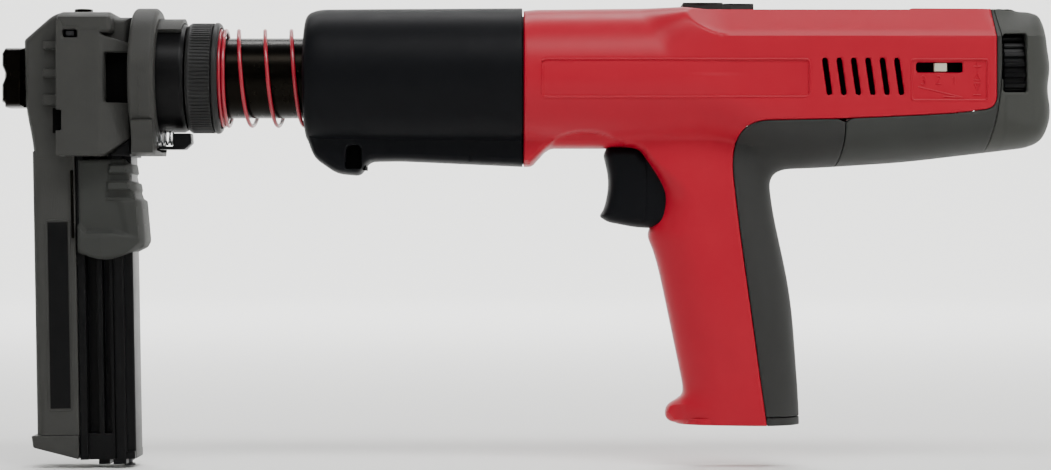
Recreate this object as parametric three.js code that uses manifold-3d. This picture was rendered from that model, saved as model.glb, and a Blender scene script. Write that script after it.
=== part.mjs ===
// A powder-actuated nail gun with a strip magazine, in millimetres, +Z up, muzzle towards -X.
// The row's origin is under the middle of the tool, at the height of the magazine's foot.
// Every solid is drawn in the bore's own frame, with z = 0 on the bore axis, and the whole tool is lifted at the end.
import * as THREE from "three";
import { mergeVertices } from "three/addons/utils/BufferGeometryUtils.js";
import Module from "manifold-3d";

const wasm = await Module();
wasm.setup();

// ---------------------------------------------------------------- driving dimensions
const BORE_HEIGHT = 150; // bore axis above the magazine's foot
const GAP = 0.3; // clearance between neighbouring pieces
const SEAM = 0.15; // half of the gap between the two housing halves

const MUZZLE_X = -201.6; // front face of the nosepiece
const TAIL_X = 201.6; // rearmost crest of the end cap
const CASING = { front: -85, rear: -1, radius: 27, frontRadius: 26.4, wall: 3.2, mouth: 20.4 };
const KEEL_HALF = 11.5; // half width of the keel under the casing
const HOUSING = { front: -0.6, rear: 179.5, radius: 26.5, half: 25.2, wall: 3 };
const TOP = 26.5; // housing's top line above the bore
const HANDLE_HALF = 15.5; // half width of the handle
const HANDLE_FOOT = -133.4; // underside of the handle
const CHANNEL = { x0: 67.4, x1: 78.6, half: 4.6 }; // clear way for the cartridge strip
const DUCT_WALL = 1.1;
const BARREL = { rear: 48, front: -150.5, radius: 15.5, bore: 10.2, rodBore: 4.3 };
const BUFFER = { x0: -56, x1: -44 };
const PRESS_TRAVEL = 18; // how far the nose goes in when the tool is pressed on the work
const PISTON = { front: 20, rear: 40, radius: 9.8, rod: 3.6, tip: -135 };
const SLEEVE_R = 21; // sleeve that the magazine's collar turns on
const RING = { x0: -129.8, x1: -117.3, radius: 21.5, knurl0: -128.4, knurl1: -120.2, teeth: 60 };
const SPRING = { x0: -117, x1: -56.5, radius: 18.2, wire: 0.9, openTurns: 5.4, closedTurns: 1, phase: -0.37 };
const COLLAR = { x0: -150.8, x1: -140.7, radius: 27, bore: 21.4 };
const HEAD = { front: -192.8, x0: -182, x1: -151.1, half: 22, top: 25.3, foot: -30.4 };
const LEAN = THREE.MathUtils.degToRad(1); // the magazine's track leans back towards the grip
const TRACK = { front: -189.8, split0: -174.4, split1: -172.8, rear: -151.6, half: 13, railHalf: 10 };
const TRACK_FOOT = -147.5;
const NAIL = { x0: -187, x1: -158, half: 4.3 }; // the space that a strip of nails stands in
const SLIDER = { top: -32, foot: -68.6 };
const WHEEL = { x0: 181.4, x1: 189.8, radius: 23, ribs: 36 };
const CAP_X = 180; // joint between the housing and the end cap
const COVER_X = 121.6; // joint between the grip back and the rear lower cover
const ROUND = 28; // segments in a full turn on a large cylinder

// ---------------------------------------------------------------- solids from three.js geometry
function solid(geometry) {
  const bare = geometry.index ? geometry.toNonIndexed() : geometry.clone();
  for (const name of Object.keys(bare.attributes)) if (name !== "position") bare.deleteAttribute(name);
  const merged = mergeVertices(bare, 1e-4);
  const make = (triVerts) =>
    new wasm.Manifold(
      new wasm.Mesh({ numProp: 3, vertProperties: merged.attributes.position.array, triVerts }),
    );
  const triVerts = new Uint32Array(merged.index.array);
  const made = make(triVerts);
  if (made.volume() > 0) return made;
  for (let i = 0; i < triVerts.length; i += 3) {
    [triVerts[i + 1], triVerts[i + 2]] = [triVerts[i + 2], triVerts[i + 1]];
  }
  return make(triVerts);
}

const union = (...parts) => parts.reduce((a, b) => a.add(b));
const cut = (body, ...tools) => tools.reduce((a, b) => a.subtract(b), body);

function block([x0, x1], [y0, y1], [z0, z1]) {
  const g = new THREE.BoxGeometry(x1 - x0, y1 - y0, z1 - z0);
  return solid(g.translate((x0 + x1) / 2, (y0 + y1) / 2, (z0 + z1) / 2));
}

function polygon(points) {
  return new THREE.Shape(points.map(([a, b]) => new THREE.Vector2(a, b)));
}

// A shape in the x-z plane, extruded over y0..y1, with its long edges rounded by `bevel`.
function side(shape, y0, y1, bevel = 0, curveSegments = 5, bevelSegments = 2) {
  const g = new THREE.ExtrudeGeometry(shape, {
    depth: y1 - y0 - 2 * bevel,
    curveSegments,
    bevelEnabled: bevel > 0,
    bevelThickness: bevel,
    bevelSize: bevel,
    bevelOffset: -bevel,
    bevelSegments,
  });
  return solid(g.rotateX(Math.PI / 2).translate(0, y1 - bevel, 0));
}

// A shape in the y-z plane, extruded over x0..x1.
function along(shape, x0, x1, curveSegments = 6) {
  const g = new THREE.ExtrudeGeometry(shape, { depth: x1 - x0, bevelEnabled: false, curveSegments });
  const turn = new THREE.Matrix4().makeBasis(
    new THREE.Vector3(0, 1, 0),
    new THREE.Vector3(0, 0, 1),
    new THREE.Vector3(1, 0, 0),
  );
  return solid(g.applyMatrix4(turn).translate(x0, 0, 0));
}

// A closed profile of [x, radius] points, turned about the bore axis.
function turned(profile, segments = ROUND) {
  const points = profile.map(([x, r]) => new THREE.Vector2(r, x));
  points.push(points[0].clone());
  return solid(new THREE.LatheGeometry(points, segments).rotateZ(-Math.PI / 2));
}

const rod = (x0, x1, radius, segments = ROUND) =>
  solid(new THREE.CylinderGeometry(radius, radius, x1 - x0, segments)
    .rotateZ(-Math.PI / 2).translate((x0 + x1) / 2, 0, 0));

const tube = (x0, x1, outer, inner, segments = ROUND) =>
  turned([[x0, inner], [x1, inner], [x1, outer], [x0, outer]], segments);

// A round pin across the tool, from y0 to y1.
const pin = (x, z, radius, y0, y1, segments = 12) =>
  solid(new THREE.CylinderGeometry(radius, radius, y1 - y0, segments).translate(x, (y0 + y1) / 2, z));

// A round bar standing upright, from z0 to z1.
const post = (x, y, radius, z0, z1, segments = 12) =>
  solid(new THREE.CylinderGeometry(radius, radius, z1 - z0, segments)
    .rotateX(Math.PI / 2).translate(x, y, (z0 + z1) / 2));

class Helix extends THREE.Curve {
  constructor({ x0, x1, radius, wire, openTurns, closedTurns, phase = 0, y = 0, z = 0 }) {
    super();
    Object.assign(this, { x0, x1, radius, wire, openTurns, closedTurns, phase, y, z });
  }
  getPoint(t, target = new THREE.Vector3()) {
    const turns = this.openTurns + 2 * this.closedTurns;
    const angle = 2 * Math.PI * (turns * t + this.phase);
    const closedPitch = 2.15 * this.wire; // closed coils lie against each other
    const open = this.x1 - this.x0 - 2 * this.wire - 2 * this.closedTurns * closedPitch;
    const turn = turns * t;
    const x =
      this.x0 + this.wire +
      Math.min(turn, this.closedTurns) * closedPitch +
      THREE.MathUtils.clamp(turn - this.closedTurns, 0, this.openTurns) * (open / this.openTurns) +
      Math.max(turn - this.closedTurns - this.openTurns, 0) * closedPitch;
    return target.set(
      x,
      this.y - this.radius * Math.sin(angle),
      this.z + this.radius * Math.cos(angle),
    );
  }
}

function coil(options, stepsPerTurn = 12, sides = 5) {
  const path = new Helix(options);
  const turns = options.openTurns + 2 * options.closedTurns;
  const ring = polygon(
    Array.from({ length: sides }, (_, i) => {
      const a = (2 * Math.PI * i) / sides;
      return [options.wire * Math.cos(a), options.wire * Math.sin(a)];
    }),
  );
  const steps = Math.round(turns * stepsPerTurn);
  return solid(new THREE.ExtrudeGeometry(ring, { steps, bevelEnabled: false, extrudePath: path }));
}

// ---------------------------------------------------------------- materials
const finish = (color, roughness, metalness = 0) =>
  new THREE.MeshStandardMaterial({ color, roughness, metalness });
const RED = finish(0xa5222f, 0.5);
const BLACK = finish(0x17181a, 0.45);
const GRIP = finish(0x3d3c3b, 0.75);
const CHARCOAL = finish(0x484845, 0.6);
const DARK_STEEL = finish(0x1d1c1b, 0.35, 0.8);
const BRIGHT_STEEL = finish(0xb4b6b8, 0.3, 1);
const SPRING_RED = finish(0xa52a38, 0.4, 0.2);
const SCREW = finish(0x3a3a3c, 0.4, 0.9);
const ELASTOMER = finish(0x8a5a20, 0.8);
const PALE = finish(0xc9cbb4, 0.5);

const tool = new THREE.Group();
tool.position.z = BORE_HEIGHT;

function add(parent, name, body, material) {
  const mesh = body.getMesh();
  const count = mesh.numVert;
  const xyz = new Float32Array(count * 3);
  for (let i = 0; i < count; i++) {
    xyz.set(mesh.vertProperties.subarray(i * mesh.numProp, i * mesh.numProp + 3), i * 3);
  }
  const geometry = new THREE.BufferGeometry()
    .setAttribute("position", new THREE.BufferAttribute(xyz, 3))
    .setIndex(new THREE.BufferAttribute(mesh.triVerts, 1))
    .toNonIndexed();
  geometry.computeVertexNormals();
  const made = new THREE.Mesh(geometry, material);
  made.name = name;
  parent.add(made);
  return made;
}

// ---------------------------------------------------------------- housing: sections and side outlines
// Section of the barrel end: a round roof, upright flanks and a narrow keel for the mechanism.
function frontSection(inset = 0) {
  const r = HOUSING.radius - inset;
  const s = new THREE.Shape();
  s.moveTo(r, 0);
  s.absarc(0, 0, r, 0, Math.PI);
  s.quadraticCurveTo(-r, -15, -19.5 + inset, -21 + inset);
  s.lineTo(-13 + inset, -22 + inset);
  s.lineTo(-13 + inset, -40);
  s.lineTo(13 - inset, -40);
  s.lineTo(13 - inset, -22 + inset);
  s.lineTo(19.5 - inset, -21 + inset);
  s.quadraticCurveTo(r, -15, r, 0);
  return s;
}

// Section of the rear body: flat flanks, a sloping shoulder to a flat roof, and a rounded belly.
function rearSection(inset = 0) {
  const w = HOUSING.half - inset;
  const t = TOP - inset;
  const s = new THREE.Shape();
  s.moveTo(w, 13);
  s.quadraticCurveTo(w - 4, t - 1.5, 11.5, t);
  s.lineTo(-11.5, t);
  s.quadraticCurveTo(-w + 4, t - 1.5, -w, 13);
  s.lineTo(-w, -15);
  s.quadraticCurveTo(-w + 1, -33 + inset, -8, -35 + inset);
  s.lineTo(8, -35 + inset);
  s.quadraticCurveTo(w - 1, -33 + inset, w, -15);
  return s;
}

// Lower edge of the rear body, which rises towards the tail.
const bellyAt = (x) => -34.4 + (5.6 * (x - 114)) / (HOUSING.rear - 114);
// Seam between the red halves and the dark pieces under and behind them.
const seamAt = (x) => -16.9 + (3.4 * (x - 98)) / (HOUSING.rear - 98);

// The seam down the back of the handle, from the rear body to the foot.
function handleSeam(shape, offset = 0) {
  shape.lineTo(92 + offset, -17.2 - offset);
  shape.quadraticCurveTo(81.5 + offset, -18.6 - offset, 79.7 + offset, -33.5 - offset);
  shape.lineTo(82.2 + offset, -55);
  shape.lineTo(92.4 + offset, HANDLE_FOOT);
}

// Side outline of a red half, seen square on.
function redOutline() {
  const s = new THREE.Shape();
  s.moveTo(HOUSING.front, TOP);
  s.lineTo(HOUSING.front, -34.3);
  s.lineTo(2.6, -34.3);
  s.bezierCurveTo(9, -26, 12, -19.5, 27, -19.5);
  s.bezierCurveTo(38, -19.5, 41, -25, 45.5, -31);
  s.bezierCurveTo(50, -37, 52.6, -42, 52.4, -47);
  s.bezierCurveTo(52.2, -52, 48.6, -57, 47.6, -61);
  s.quadraticCurveTo(53, -76, 57, -100);
  s.quadraticCurveTo(59.5, -112, 60.9, -119);
  s.bezierCurveTo(61.5, -126, 54.6, -122, 54.6, -128);
  s.bezierCurveTo(54.6, -132.6, 58, HANDLE_FOOT, 61, HANDLE_FOOT);
  s.lineTo(92.4, HANDLE_FOOT);
  s.lineTo(82.2, -55);
  s.lineTo(79.7, -33.5);
  s.quadraticCurveTo(81.5, -18.6, 92, -17.2);
  s.lineTo(98, seamAt(98));
  s.lineTo(HOUSING.rear, seamAt(HOUSING.rear));
  s.lineTo(HOUSING.rear, TOP);
  return s;
}

// Outline of the handle alone, from the body's underside to its foot; inset makes its hollow.
function handleBox(inset = 0) {
  return polygon([
    [44, -10], [95, -10], [84 - inset, -40], [84.5 - inset, -55], [94 - inset, HANDLE_FOOT - 4],
    [52 + inset, HANDLE_FOOT - 4], [47 + inset, -56], [44, -40],
  ]);
}

const BOSSES = [[6, -24.4], [58.5, -62], [62, -127.2], [100, 16.8], [136, 16.8], [171, 16.8]];
const VENTS = { count: 6, x: 104.6, pitch: 5.35, z0: -7.8, z1: 6.6, lean: 2.2, width: 2.2 };
const WINDOW = { x0: 148, x1: 166, z0: 1.1, z1: 4.9 };

function ventTools() {
  return Array.from({ length: VENTS.count }, (_, i) => {
    const x = VENTS.x + i * VENTS.pitch;
    const w = VENTS.width / 2;
    return side(polygon([
      [x - w, VENTS.z1], [x + VENTS.lean - w, VENTS.z0], [x + VENTS.lean + w, VENTS.z0], [x + w, VENTS.z1],
    ]), -40, 40);
  });
}

// Room for the steel duct that the cartridge strip runs in.
const ductRoom = () => {
  const wall = DUCT_WALL + GAP;
  return block([CHANNEL.x0 - wall, CHANNEL.x1 + wall], [-CHANNEL.half - wall, CHANNEL.half + wall],
    [HANDLE_FOOT - 1, -18]);
};

function housingShell() {
  const rearStart = 60;
  const body = union(
    along(frontSection(), HOUSING.front, rearStart + 2),
    along(rearSection(), rearStart, HOUSING.rear),
    side(handleBox(), -HANDLE_HALF, HANDLE_HALF, 5),
  ).intersect(side(redOutline(), -40, 40, 0, 7));
  const underside = block([HOUSING.front, 47], [-12.5, 12.5], [-27.5, -10]);
  const w = HOUSING.wall;
  const hollow = union(
    along(frontSection(w), HOUSING.front - 1, rearStart + 4),
    along(rearSection(w), rearStart + 3, HOUSING.rear + 1),
  ).intersect(block([HOUSING.front - 1, HOUSING.rear + 1], [-40, 40], [-24.6, 40]));
  const handleHollow = union(ductRoom(),
    side(polygon([[54, -66], [79.5, -66], [84, -116], [66, -116], [60.5, -92]]), -12, 12));
  const triggerPocket = union(
    block([20, 65], [-9.2, 9.2], [-58.3, -27.9]),
    block([52.8, 65], [-3, 3], [-28.5, -10]),
  );
  let shell = cut(union(body, underside), hollow, handleHollow, triggerPocket);
  const boss = union(...BOSSES.map(([x, z]) => pin(x, z, 4, -22, 22)));
  shell = shell.add(boss.intersect(body));
  return cut(shell, ...ventTools(),
    block([90, 147], [-14, 14], [TOP - 0.8, TOP + 1]),
    block([60, 88], [-9.2, 9.2], [TOP - 1.2, TOP + 1]),
    block([CHANNEL.x0 - 2.2, CHANNEL.x1 + 2.2], [-7, 7], [15, TOP + 1]),
    block([WINDOW.x0, WINDOW.x1], [-40, 0], [WINDOW.z0, WINDOW.z1]),
  );
}

const SCREW_SIZE = { head: 3.1, headHeight: 2.4, shank: 1.5, length: 15 };

function screwSeat(x, z, face) {
  return union(
    pin(x, z, SCREW_SIZE.head + GAP, face - SCREW_SIZE.headHeight - GAP, 45),
    pin(x, z, SCREW_SIZE.shank + GAP, face - SCREW_SIZE.length - GAP, 45),
  );
}

function screw(x, z, face) {
  const head = pin(x, z, SCREW_SIZE.head, face - SCREW_SIZE.headHeight, face);
  const socket = pin(x, z, 1.5, face - 1.4, face + 1, 6);
  return union(head, pin(x, z, SCREW_SIZE.shank, face - SCREW_SIZE.length, face - 1, 10)).subtract(socket);
}

// y of each housing screw's head, just under the surface it sits in
const SCREW_FACES = [12.3, 14.8, 11.8, 20.6, 20.6, 20.6];

function addHousing(root) {
  const shell = housingShell();
  const big = 400;
  const left = shell.intersect(block([-big, big], [-big, -SEAM], [-big, big]));
  const seats = BOSSES.map(([x, z], i) => screwSeat(x, z, SCREW_FACES[i]));
  const right = cut(shell.intersect(block([-big, big], [SEAM, big], [-big, big])), ...seats);
  add(root, "housing_left", cut(left, ...seats), RED);
  add(root, "housing_right", right, RED);
  BOSSES.forEach(([x, z], i) => add(root, `housing_screw_${i + 1}`, screw(x, z, SCREW_FACES[i]), SCREW));
}

// ---------------------------------------------------------------- dark pieces of the rear and the grip
function addGrip(root) {
  const g = GAP;
  const s = new THREE.Shape();
  s.moveTo(COVER_X - g, seamAt(COVER_X) - g);
  s.lineTo(98, seamAt(98) - g);
  handleSeam(s, g);
  s.lineTo(103.5, HANDLE_FOOT);
  s.quadraticCurveTo(105.8, HANDLE_FOOT, 105.7, -130);
  s.bezierCurveTo(105, -100, 97.5, -62, 95.6, -48);
  s.quadraticCurveTo(95.2, -35.4, 106, -34.8);
  s.lineTo(COVER_X - g, bellyAt(COVER_X));
  const outline = side(s, -30, 30, 0, 6);
  const sections = union(
    along(rearSection(), 84, COVER_X),
    side(handleBox(-14), -HANDLE_HALF, HANDLE_HALF, 5),
  );
  const hollow = along(rearSection(HOUSING.wall), 84, COVER_X + 1)
    .intersect(block([CHANNEL.x1 + 6, COVER_X + 1], [-40, 40], [-31, 10]));
  add(root, "grip_back", cut(sections.intersect(outline), hollow, ductRoom()), GRIP);
}

function addRearCover(root) {
  const x0 = COVER_X + GAP / 2;
  const outline = polygon([
    [x0, seamAt(x0) - GAP], [HOUSING.rear, seamAt(HOUSING.rear) - GAP],
    [HOUSING.rear, bellyAt(HOUSING.rear)], [x0, bellyAt(x0)],
  ]);
  const shell = along(rearSection(), x0, HOUSING.rear).intersect(side(outline, -30, 30));
  const hollow = along(rearSection(HOUSING.wall), x0 - 1, HOUSING.rear + 1)
    .intersect(block([x0 - 1, HOUSING.rear + 1], [-40, 40], [-26.5, 10]));
  add(root, "rear_lower_cover", shell.subtract(hollow), CHARCOAL);
}

function addRearCap(root) {
  const s = new THREE.Shape();
  s.moveTo(CAP_X, 25.9);
  s.lineTo(190, 25.4);
  s.bezierCurveTo(199, 24.6, 200.2, 20, 200.4, 13.5);
  s.bezierCurveTo(201, 8, TAIL_X + 0.15, 7, TAIL_X, 2.5);
  s.bezierCurveTo(TAIL_X, -1, 200.4, -2, 200.5, -5);
  s.bezierCurveTo(200.5, -8, TAIL_X, -9, TAIL_X, -13.5);
  s.bezierCurveTo(TAIL_X, -20, 199.5, -24.4, 194, -25.6);
  s.lineTo(CAP_X, -28.6);
  const body = along(rearSection(), CAP_X, TAIL_X + 1).intersect(side(s, -30, 30, 0, 4));
  const wheelRoom = rod(CAP_X - 1, WHEEL.x1 + 0.6, WHEEL.radius + 0.5);
  const window = block([CAP_X + 1.4, WHEEL.x1 + 0.6], [-30, 30], [-6.4, 15.9]);
  const seats = [-11, 11].map((z) => rod(CAP_X, TAIL_X + 2, 1.8, 12).translate([0, 0, z]));
  const heads = [-11, 11].map((z) => rod(197.4, TAIL_X + 2, 3.4, 12).translate([0, 0, z]));
  add(root, "rear_cap", cut(body, wheelRoom, window, ...seats, ...heads), CHARCOAL);
  [-11, 11].forEach((z, i) => {
    const body = union(rod(197.8, 200, 3.1, 12), rod(190.8, 198, 1.5, 10)).subtract(rod(198.6, 202, 1.5, 6));
    add(root, `cap_screw_${i + 1}`, body.translate([0, 0, z]), SCREW);
  });
}

// ---------------------------------------------------------------- front casing with its keel
function keelOutline(inset = 0) {
  const s = new THREE.Shape();
  s.moveTo(CASING.front + 0.4 + inset, -10);
  s.lineTo(CASING.front + 0.4 + inset, -17);
  s.quadraticCurveTo(-83.6 + inset, -29, -80 + inset, -31.5 + inset);
  s.lineTo(-72.8, -36.6 + inset);
  s.lineTo(-64, -37.5 + inset);
  s.quadraticCurveTo(-61.6 - inset, -37, -61 - inset, -34 + inset);
  s.quadraticCurveTo(-60.4, -32.4 + inset, -58, -32.2 + inset);
  s.lineTo(-25, -32.4 + inset);
  s.lineTo(CASING.rear, -34.3 + inset);
  s.lineTo(CASING.rear, -10);
  return s;
}

const CASING_SCREWS = [[-40, -29.4], [-12, -30.4]];

function addCasing(root) {
  const c = CASING;
  const barrelPart = turned([
    [c.front, 0.001], [c.front, 21.5], [c.front + 0.8, 24.4], [c.front + 2.4, 25.8], [c.front + 5, c.frontRadius],
    [c.rear, c.radius], [c.rear, 0.001],
  ], 40);
  const keel = side(keelOutline(), -KEEL_HALF, KEEL_HALF, 1.5, 4, 1);
  const inner = turned([
    [c.front + c.wall, 0.001], [c.front + c.wall, c.frontRadius - c.wall],
    [c.rear + 1, c.radius - c.wall], [c.rear + 1, 0.001],
  ], 32);
  const keelRoom = side(keelOutline(2.4), -8, 8, 0, 3)
    .intersect(block([-78, 5], [-8, 8], [-40, -12]));
  const slot = new THREE.Shape();
  slot.moveTo(-69, -35.4);
  slot.lineTo(-68.6, -28);
  slot.absarc(-66, -28, 2.6, Math.PI, 0, true);
  slot.lineTo(-63.4, -35.4);
  const seats = CASING_SCREWS.map(([x, z]) => union(
    pin(x, z, SCREW_SIZE.head - 0.6 + GAP, KEEL_HALF - 2.4 - GAP, 30), pin(x, z, 1.5, 2, 30)));
  const mouth = rod(c.front - 1, c.front + c.wall + 1, c.mouth, 32);
  add(root, "front_casing",
    cut(barrelPart.add(keel), inner, keelRoom, mouth, side(slot, -30, 0, 0, 4), ...seats), BLACK);
  CASING_SCREWS.forEach(([x, z], i) => {
    const head = pin(x, z, 2.4, KEEL_HALF - 2.3, KEEL_HALF - 0.3);
    const body = union(head, pin(x, z, 1.2, 3, KEEL_HALF - 2, 8)).subtract(pin(x, z, 1.2, KEEL_HALF - 1.4, 20, 6));
    add(root, `casing_screw_${i + 1}`, body, SCREW);
  });
  add(root, "spring_seat", tube(c.front + 28.8, c.front + 32.8, c.frontRadius - c.wall - 0.6, 16.2), DARK_STEEL);
}

// ---------------------------------------------------------------- cartridge way, breech and striker
function addBreech(root) {
  const ch = CHANNEL;
  const duct = cut(
    block([ch.x0 - DUCT_WALL, ch.x1 + DUCT_WALL], [-ch.half - DUCT_WALL, ch.half + DUCT_WALL], [HANDLE_FOOT, -19]),
    block([ch.x0, ch.x1], [-ch.half, ch.half], [HANDLE_FOOT - 1, 0]),
  );
  add(root, "cartridge_channel", duct, BRIGHT_STEEL);
  const guide = union(
    side(polygon([[60.3, TOP + 0.2], [87.7, TOP + 0.2], [87.7, 28.3], [76, 28.5], [75.6, 28.8], [61, 28.8]]),
      -8.8, 8.8, 0.4, 1, 1),
    block([ch.x0 - 1.8, ch.x1 + 1.8], [-6.5, 6.5], [17.5, TOP + 0.5]),
  );
  add(root, "strip_exit_guide",
    guide.subtract(block([ch.x0, ch.x1], [-ch.half, ch.half], [10, 40])), GRIP);
  add(root, "breech_block", turned([[81.8, 2.6], [94, 2.6], [94, 16], [81.8, 16]]), BRIGHT_STEEL);
  add(root, "striker_tube",
    turned([[94.3, 7.6], [137.5, 7.6], [137.5, 0.001], [140, 0.001], [140, 10], [94.3, 10]], 20), DARK_STEEL);
}

function addStriker(root) {
  const striker = turned([[82.6, 0.001], [82.6, 1.2], [83.6, 2.2], [100, 2.2], [100, 7.2], [114, 7.2],
    [114, 4], [118, 4], [118, 0.001]], 16);
  add(root, "striker", striker, BRIGHT_STEEL);
  add(root, "striker_spring",
    coil({ x0: 114.4, x1: 137.1, radius: 5.8, wire: 0.6, openTurns: 4.5, closedTurns: 0.75 }, 8, 4), BRIGHT_STEEL);
}

function addFeed(root) {
  const lever = union(
    side(polygon([[54, -26.4], [60, -26.6], [64.6, -22.6], [64.6, -20.4], [59, -17.6], [54, -18.4]]), -2, 2),
  ).subtract(pin(58, -22, 1.8, -5, 5));
  add(root, "feed_pawl", lever, BRIGHT_STEEL);
  add(root, "pawl_pin", pin(58, -22, 1.5, -9.6, 9.6), BRIGHT_STEEL);
}

function addTrigger(root) {
  const s = new THREE.Shape();
  s.moveTo(31.4, -28.3);
  s.bezierCurveTo(29.6, -29, 30.2, -31, 30.6, -33);
  s.bezierCurveTo(31.8, -39, 31.8, -46, 30.4, -51);
  s.quadraticCurveTo(28.6, -53.4, 30.8, -55);
  s.quadraticCurveTo(38, -57.4, 50, -57.9);
  s.lineTo(57, -57.6);
  s.lineTo(57, -28.3);
  const blade = side(s, -8.8, 8.8, 0.8, 4, 1);
  const springRoom = rod(45, 60, 3.6, 14).translate([0, 0, -43]);
  add(root, "trigger", blade.subtract(springRoom), BLACK);
  add(root, "trigger_spring",
    coil({ x0: 45.3, x1: 64.7, radius: 2.6, wire: 0.45, openTurns: 5, closedTurns: 0.75, z: -43 }, 7, 4), BRIGHT_STEEL);
}

// ---------------------------------------------------------------- power regulation
function addRegulator(root) {
  const rib = Math.PI / WHEEL.ribs;
  const rim = polygon(Array.from({ length: 4 * WHEEL.ribs }, (_, i) => {
    const tooth = Math.floor(i / 4) * 2 * rib;
    const a = tooth + [0, 0.45, 1, 1.45][i % 4] * rib;
    const r = i % 4 < 2 ? WHEEL.radius - 1.1 : WHEEL.radius;
    return [r * Math.cos(a), r * Math.sin(a)];
  }));
  const dish = tube(WHEEL.x0 + 2.5, WHEEL.x1 + 1, 18.5, 5.5, 20);
  const wheel = along(rim, WHEEL.x0, WHEEL.x1).subtract(dish);
  add(root, "power_wheel", wheel.add(rod(WHEEL.x0 - 6, WHEEL.x0 + 1, 5, 16)), CHARCOAL);
  add(root, "regulator_spindle", rod(141, WHEEL.x0 - 6 - GAP, 2.5, 12), BRIGHT_STEEL);
  const hub = tube(153.6, 160.8, 5.2, 2.9, 14);
  const arm = block([154.6, 159.8], [-24, -4.6], [1.4, 4.6]);
  add(root, "power_indicator", hub.add(arm), PALE);
}

// ---------------------------------------------------------------- the sliding nose
function addNose(root) {
  const b = BARREL;
  const barrel = turned([
    [b.front, b.rodBore], [BUFFER.x0, b.rodBore], [BUFFER.x0, b.bore], [b.rear, b.bore],
    [b.rear, b.radius - 1.5], [b.rear - 1.5, b.radius], [b.front, b.radius],
  ]);
  add(root, "barrel_tube", barrel, DARK_STEEL);
  add(root, "adapter_sleeve", tube(-150.5, RING.x0 - GAP, SLEEVE_R, b.radius + GAP), DARK_STEEL);
  add(root, "buffer_ring", tube(BUFFER.x0 + GAP, BUFFER.x1 - 3, b.bore - GAP, 7, 20), ELASTOMER);
  add(root, "stop_ring", tube(BUFFER.x1 - 2.7, BUFFER.x1, b.bore - GAP, 7, 20), BRIGHT_STEEL);
  const tooth = (2 * Math.PI) / RING.teeth;
  const knurl = polygon(Array.from({ length: 2 * RING.teeth }, (_, i) => {
    const a = (i * tooth) / 2;
    const r = RING.radius - (i % 2) * 0.6;
    return [r * Math.cos(a), r * Math.sin(a)];
  }));
  const plain = turned([
    [RING.x0, b.radius + GAP], [RING.x1, b.radius + GAP], [RING.x1, 19.6], [RING.x1 - 1, 21.2],
    [RING.knurl1, 21.2], [RING.knurl1, 20.6], [RING.knurl0, 20.6], [RING.knurl0, 20.9], [RING.x0, 20.9],
  ]);
  const band = along(knurl, RING.knurl0, RING.knurl1).subtract(rod(RING.knurl0 - 1, RING.knurl1 + 1, 18));
  add(root, "knurled_ring", plain.add(band), BLACK);
  add(root, "contact_spring", coil(SPRING, 12, 5), SPRING_RED);
  const p = PISTON;
  const groove = [p.rear - 9, p.rear - 5];
  const piston = turned([
    [p.tip, 0.001], [p.tip, p.rod], [p.front - 6, p.rod], [p.front, 6.4], [p.front + 1, p.radius],
    ...groove.flatMap((x) => [[x, p.radius], [x, 8.4], [x + 2.2, 8.4], [x + 2.2, p.radius]]),
    [p.rear, p.radius], [p.rear, 0.001],
  ], 20);
  add(root, "piston", piston, BRIGHT_STEEL);
  groove.forEach((x, i) => add(root, `piston_ring_${i + 1}`, tube(x + 0.3, x + 1.9, 9.95, 8.7, 20), BRIGHT_STEEL));
}

// ---------------------------------------------------------------- magazine: collar, head and nosepiece
const CATCH = { y0: -14, y1: -5, z: -23.4, x0: -134.7, x1: -127.7 };

function addCollar(root) {
  const c = COLLAR;
  const ring = turned([
    [c.x0, c.bore], [c.x1, c.bore], [c.x1, c.radius], [c.x0 + 2.4, c.radius], [c.x0, c.radius - 2.6],
  ], 36);
  const lug = cut(block([c.x0, c.x1], [-15, 15], [-30.2, -14]), rod(c.x0 - 1, c.x1 + 1, c.bore, 36));
  const tongue = turned([[c.x1 - 1, 21.4], [-131.6, 21.4], [-131.6, 22.9], [c.x1 - 1, 22.9]], 36)
    .intersect(block([-142, -131], [-13.5, 13.5], [16, 24]));
  const pocket = block([-145.9, c.x1 + 1], [CATCH.y0 - GAP, CATCH.y1 + GAP], [-28.4, -26.2]);
  const springSeat = rod(-143.4, c.x1 + 1, 3.3, 12).translate([0, -9.5, CATCH.z]);
  add(root, "magazine_collar", cut(union(ring, lug, tongue), pocket, springSeat), BLACK);

  const button = union(
    side(polygon([[CATCH.x0, -21.6], [CATCH.x1, -21.6], [CATCH.x1, -25.6], [-130.4, -28], [-140.2, -28],
      [-140.2, -26.6], [CATCH.x0, -26.6]]), CATCH.y0, CATCH.y1),
  );
  add(root, "catch_button", button, BLACK);
  add(root, "catch_spring",
    coil({ x0: -143.2, x1: CATCH.x0 - GAP, radius: 2.5, wire: 0.4, openTurns: 3.5, closedTurns: 0.75, y: -9.5,
      z: CATCH.z }, 8, 4), BRIGHT_STEEL);
}

const HEAD_SCREWS = [[-177.5, 20.5], [-157.5, 17.5], [-177.5, -25.5], [-157.5, -25.5]];

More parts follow.
